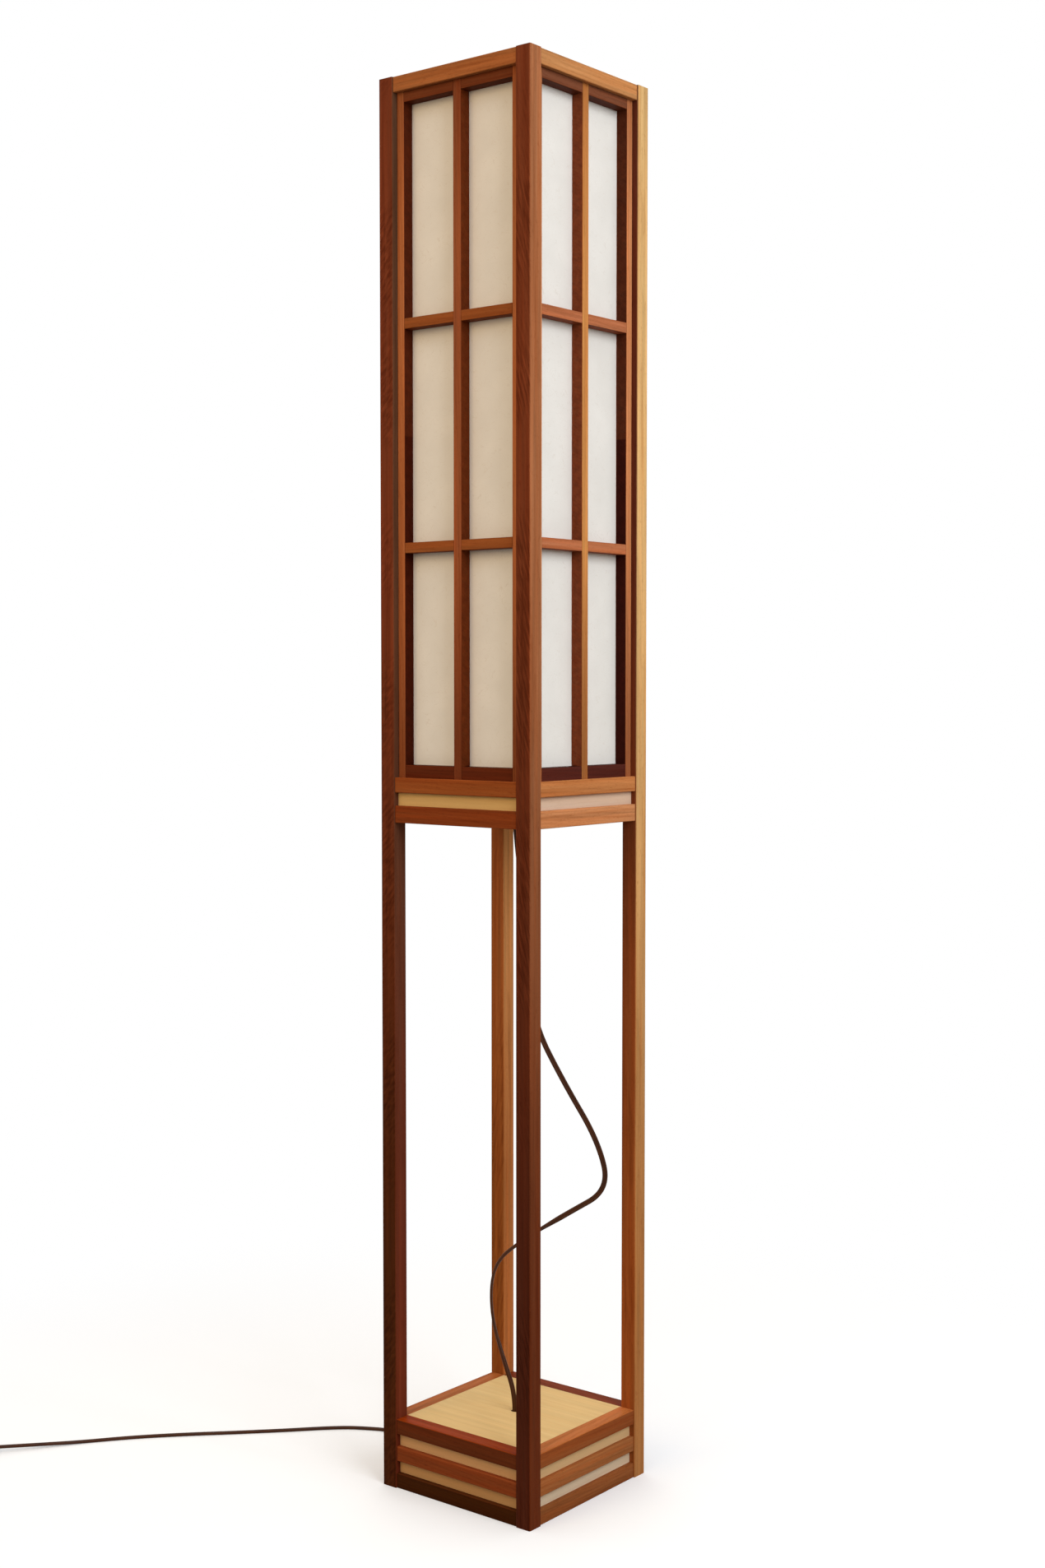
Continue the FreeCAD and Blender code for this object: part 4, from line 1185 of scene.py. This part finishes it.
tie_line, tie_sides = tie_loop()
coil_tie = swept("coil_tie", tie_line, tie_sides, strip(TIE_WIDTH, TIE_THICK), "moulded_brown", closed=True)
tie_twist = swept("tie_twist", *tie_ends(), strip(3.0 * MM, 0.7 * MM), "moulded_brown")
print("tie loop:", round(length_of(tie_line), 3), "m")

# %% [markdown]
# ## Small parts
# Metal, vinyl and moulded plastic are never quite even: the roughness and the
# tone wander a little, from handling, plating and flow in the mould. One
# function does that for all of them.

# %% Wandering finishes
def worn(name, dark, light, rough, cell, relief, metal=0.0, mirror=0.5):
    """cell is the size of one patch, and relief the height of the finer grit on it."""
    material, tree = blank_material(name)
    noise = clouds(tree, cell, 4.0)
    color = ramp(tree, noise, [(0.35, ink(dark)), (0.65, ink(light))])
    gloss = span(tree, noise, 0.35, 0.65, *rough)
    grit = clouds(tree, cell / 6, 2.0)
    bump = add(tree, "Bump", {}, {"Strength": 0.4, "Distance": relief, "Height": grit})
    shader = add(tree, "BsdfPrincipled", {}, {"Base Color": color, "Roughness": gloss, "Metallic": metal,
                                              "IOR": 1.5, "Specular IOR Level": mirror, "Normal": bump})
    add(tree, "OutputMaterial", {}, {"Surface": shader})
    return material


def coat(pieces, material):
    for piece in pieces:
        piece.data.materials.append(material)


# Soft vinyl is satin: its highlight is wide and dim, and follows both lobes of the cord.
vinyl = worn("brown_vinyl", "#3a1b06", "#442107", (0.38, 0.48), 12 * MM, 0.02 * MM, mirror=0.15)
coat((*free_cords, stem_twin, base_twin), vinyl)
# The hard mouldings are a shade darker and smoother, so their edges catch a thin line of light.
moulded = worn("moulded_brown", "#2c1509", "#361b0c", (0.34, 0.44), 15 * MM, 0.03 * MM, mirror=0.3)
dress(["cord_bushing", "cord_clip", "plug_body", "switch_base", "switch_cover", "switch_rocker"], moulded)
coat((rocker_ribs, plug_ribs, plug_sleeve, boot_sleeve, coil_tie, tie_twist), moulded)
# Zinc is a cool, bright grey with soft reflections.
zinc = worn("zinc_plate", "#a9adb0", "#c3c6c6", (0.26, 0.42), 6 * MM, 0.01 * MM, metal=1.0)
dress(["wood_screws", "lamp_stem", "stem_nuts", "switch_screw"], zinc)
coat((threaded_stem, crossed_screws), zinc)
# Brushed brass is warm and blurs what it mirrors.
brass = worn("brushed_brass", "#b98d45", "#d3ab63", (0.24, 0.38), 8 * MM, 0.01 * MM, metal=1.0)
dress(["lampholder_cap", "lampholder_shell", "lampholder_screw_shell", "lampholder_contact",
       "switch_contacts", "plug_blades"], brass)
coat((spun_cap, spun_shell, rolled_shell), brass)
# The bulb's cap is the sharpest mirror of the metals.
nickel = worn("bulb_cap_metal", "#b3b4b6", "#cbccce", (0.22, 0.34), 6 * MM, 0.01 * MM, metal=1.0)
dress(["bulb_cap"], nickel)
coat((rolled_cap,), nickel)
# Cast iron painted black is dull and grainy, pressed card is dry, and the holder's block has a low shine.
dress(["ballast_plate"], worn("black_iron", "#242528", "#303134", (0.50, 0.66), 20 * MM, 0.06 * MM))
dress(["lampholder_liner"], worn("pressed_card", "#98805b", "#b59c74", (0.80, 0.90), 3 * MM, 0.05 * MM))
dress(["lampholder_block"], worn("dark_phenolic", "#1d1512", "#2a201b", (0.30, 0.42), 8 * MM, 0.02 * MM))
print("finishes so far:", len(bpy.data.materials))

# %% [markdown]
# The bulb is frosted inside. It lets light through and blurs what is behind
# it, so it looks milky white when it is off.

# %% Frosted glass
FROST = 18 * MM


def frosted_glass():
    material, tree = blank_material("frosted_glass")
    noise = clouds(tree, FROST, 2.0)
    gloss = span(tree, noise, to_low=0.38, to_high=0.52)
    color = ramp(tree, noise, [(0.3, ink("#f2efe9")), (0.7, ink("#f8f6f2"))])
    shader = add(tree, "BsdfPrincipled", {}, {"Base Color": color, "Roughness": gloss, "IOR": 1.5,
                                              "Transmission Weight": 0.55})
    add(tree, "OutputMaterial", {}, {"Surface": shader})
    return material


dress(["bulb_glass"], frosted_glass())
print("materials:", len(bpy.data.materials))

# %% [markdown]
# ## Floor and light
# The lamp stands on a white floor that takes its soft shadow. Past a metre or
# so the floor fades to plain white, so that it has no horizon. To light that
# bounces off it the floor is darker than to the camera, as a real room's floor
# is. Metal and glass show the same white as the camera sees.

# %% Floor
FLOOR_REACH = 30
SHADOW_NEAR = 0.35
SHADOW_FAR = 1.1
FLOOR_LIFT = 0.13
PAPER_WHITE = ink("#ffffff")


def seen_rays(tree):
    """1 for what is seen, by the camera, in metal or through glass."""
    path = add(tree, "LightPath").outputs
    through = calc(tree, "MAXIMUM", path["Is Camera Ray"], path["Is Transmission Ray"])
    return calc(tree, "MAXIMUM", through, path["Is Glossy Ray"])


def floor_material():
    material, tree = blank_material("studio_floor")
    reach = add(tree, "VectorMath", {"operation": "LENGTH"}, {0: add(tree, "TexCoord").outputs["Object"]})
    far = span(tree, reach.outputs["Value"], SHADOW_NEAR, SHADOW_FAR, smooth=True)
    bounced = add(tree, "BsdfDiffuse", {}, {"Color": ink("#8c8780")})
    lit = add(tree, "BsdfDiffuse", {}, {"Color": ink("#f2f2f2")})
    lift = add(tree, "Emission", {}, {"Color": PAPER_WHITE, "Strength": FLOOR_LIFT})
    white = add(tree, "Emission", {}, {"Color": PAPER_WHITE, "Strength": 1.0})
    faded = add(tree, "MixShader", {}, {0: far, 1: add(tree, "AddShader", {}, {0: lit, 1: lift}), 2: white})
    both = add(tree, "MixShader", {}, {0: seen_rays(tree), 1: bounced, 2: faded})
    add(tree, "OutputMaterial", {}, {"Surface": both})
    return material


floor_mesh = bpy.data.meshes.new("studio_floor")
floor_corners = [(x * FLOOR_REACH, y * FLOOR_REACH, 0) for x, y in ((-1, -1), (1, -1), (1, 1), (-1, 1))]
floor_mesh.from_pydata(floor_corners, [], [(0, 1, 2, 3)])
floor_mesh.materials.append(floor_material())
floor = bpy.data.objects.new("studio_floor", floor_mesh)
bpy.context.scene.collection.objects.link(floor)
print("floor:", 2 * FLOOR_REACH, "m wide, white from", SHADOW_FAR, "m")

# %% [markdown]
# The light is a large, cool window on the lamp's right, with its middle a
# little above the lamp's top, a warm and weaker room light in front, and a
# faint glow from the wall behind. The wall is matt: it lights the lamp but
# isn't mirrored in the tops of the rails. A dim, even light comes from all
# round, brighter from above.

# %% Lights
def area_light(name, place, aim, size, power, color):
    """aim is the height on the lamp's middle line that the light looks at."""
    light = bpy.data.lights.new(name, "AREA")
    light.shape = "SQUARE"
    light.size = size
    light.energy = power
    light.color = ink(color)[:3]
    made = bpy.data.objects.new(name, light)
    made.location = place
    made.rotation_euler = (Vector((0, 0, aim)) - Vector(place)).to_track_quat("-Z", "Y").to_euler()
    bpy.context.scene.collection.objects.link(made)
    return made


area_light("window_light", (2.6, -0.6, 2.1), 1.0, 2.0, 60, "#eff6ff")
wall_light = area_light("wall_light", (-2.2, 2.0, 1.6), 0.9, 2.0, 14, "#fff4e4")
wall_light.visible_glossy = False
area_light("room_light", (-0.3, -2.7, 2.0), 1.0, 1.8, 27, "#ffd795")
print("lights:", len(bpy.data.lights))

# %% [markdown]
# The light from all round is what the room gives back. Metal and glass mirror
# a plain white, as the camera sees it.

# %% World
HORIZON_LIGHT = 0.35
ZENITH_LIGHT = 0.85

world = bpy.data.worlds.new("studio")
world.use_nodes = True
tree = world.node_tree
tree.nodes.clear()
height = axes(tree, add(tree, "TexCoord").outputs["Generated"])[2]
sky = span(tree, height, to_low=HORIZON_LIGHT, to_high=ZENITH_LIGHT)
soft = add(tree, "Background", {}, {"Color": PAPER_WHITE, "Strength": sky})
white = add(tree, "Background", {}, {"Color": PAPER_WHITE, "Strength": 1.0})
both = add(tree, "MixShader", {}, {0: seen_rays(tree), 1: soft, 2: white})
add(tree, "OutputWorld", {}, {"Surface": both})
bpy.context.scene.world = world
bpy.context.scene.view_settings.view_transform = "Standard"
print("sky: from", HORIZON_LIGHT, "to", ZENITH_LIGHT)
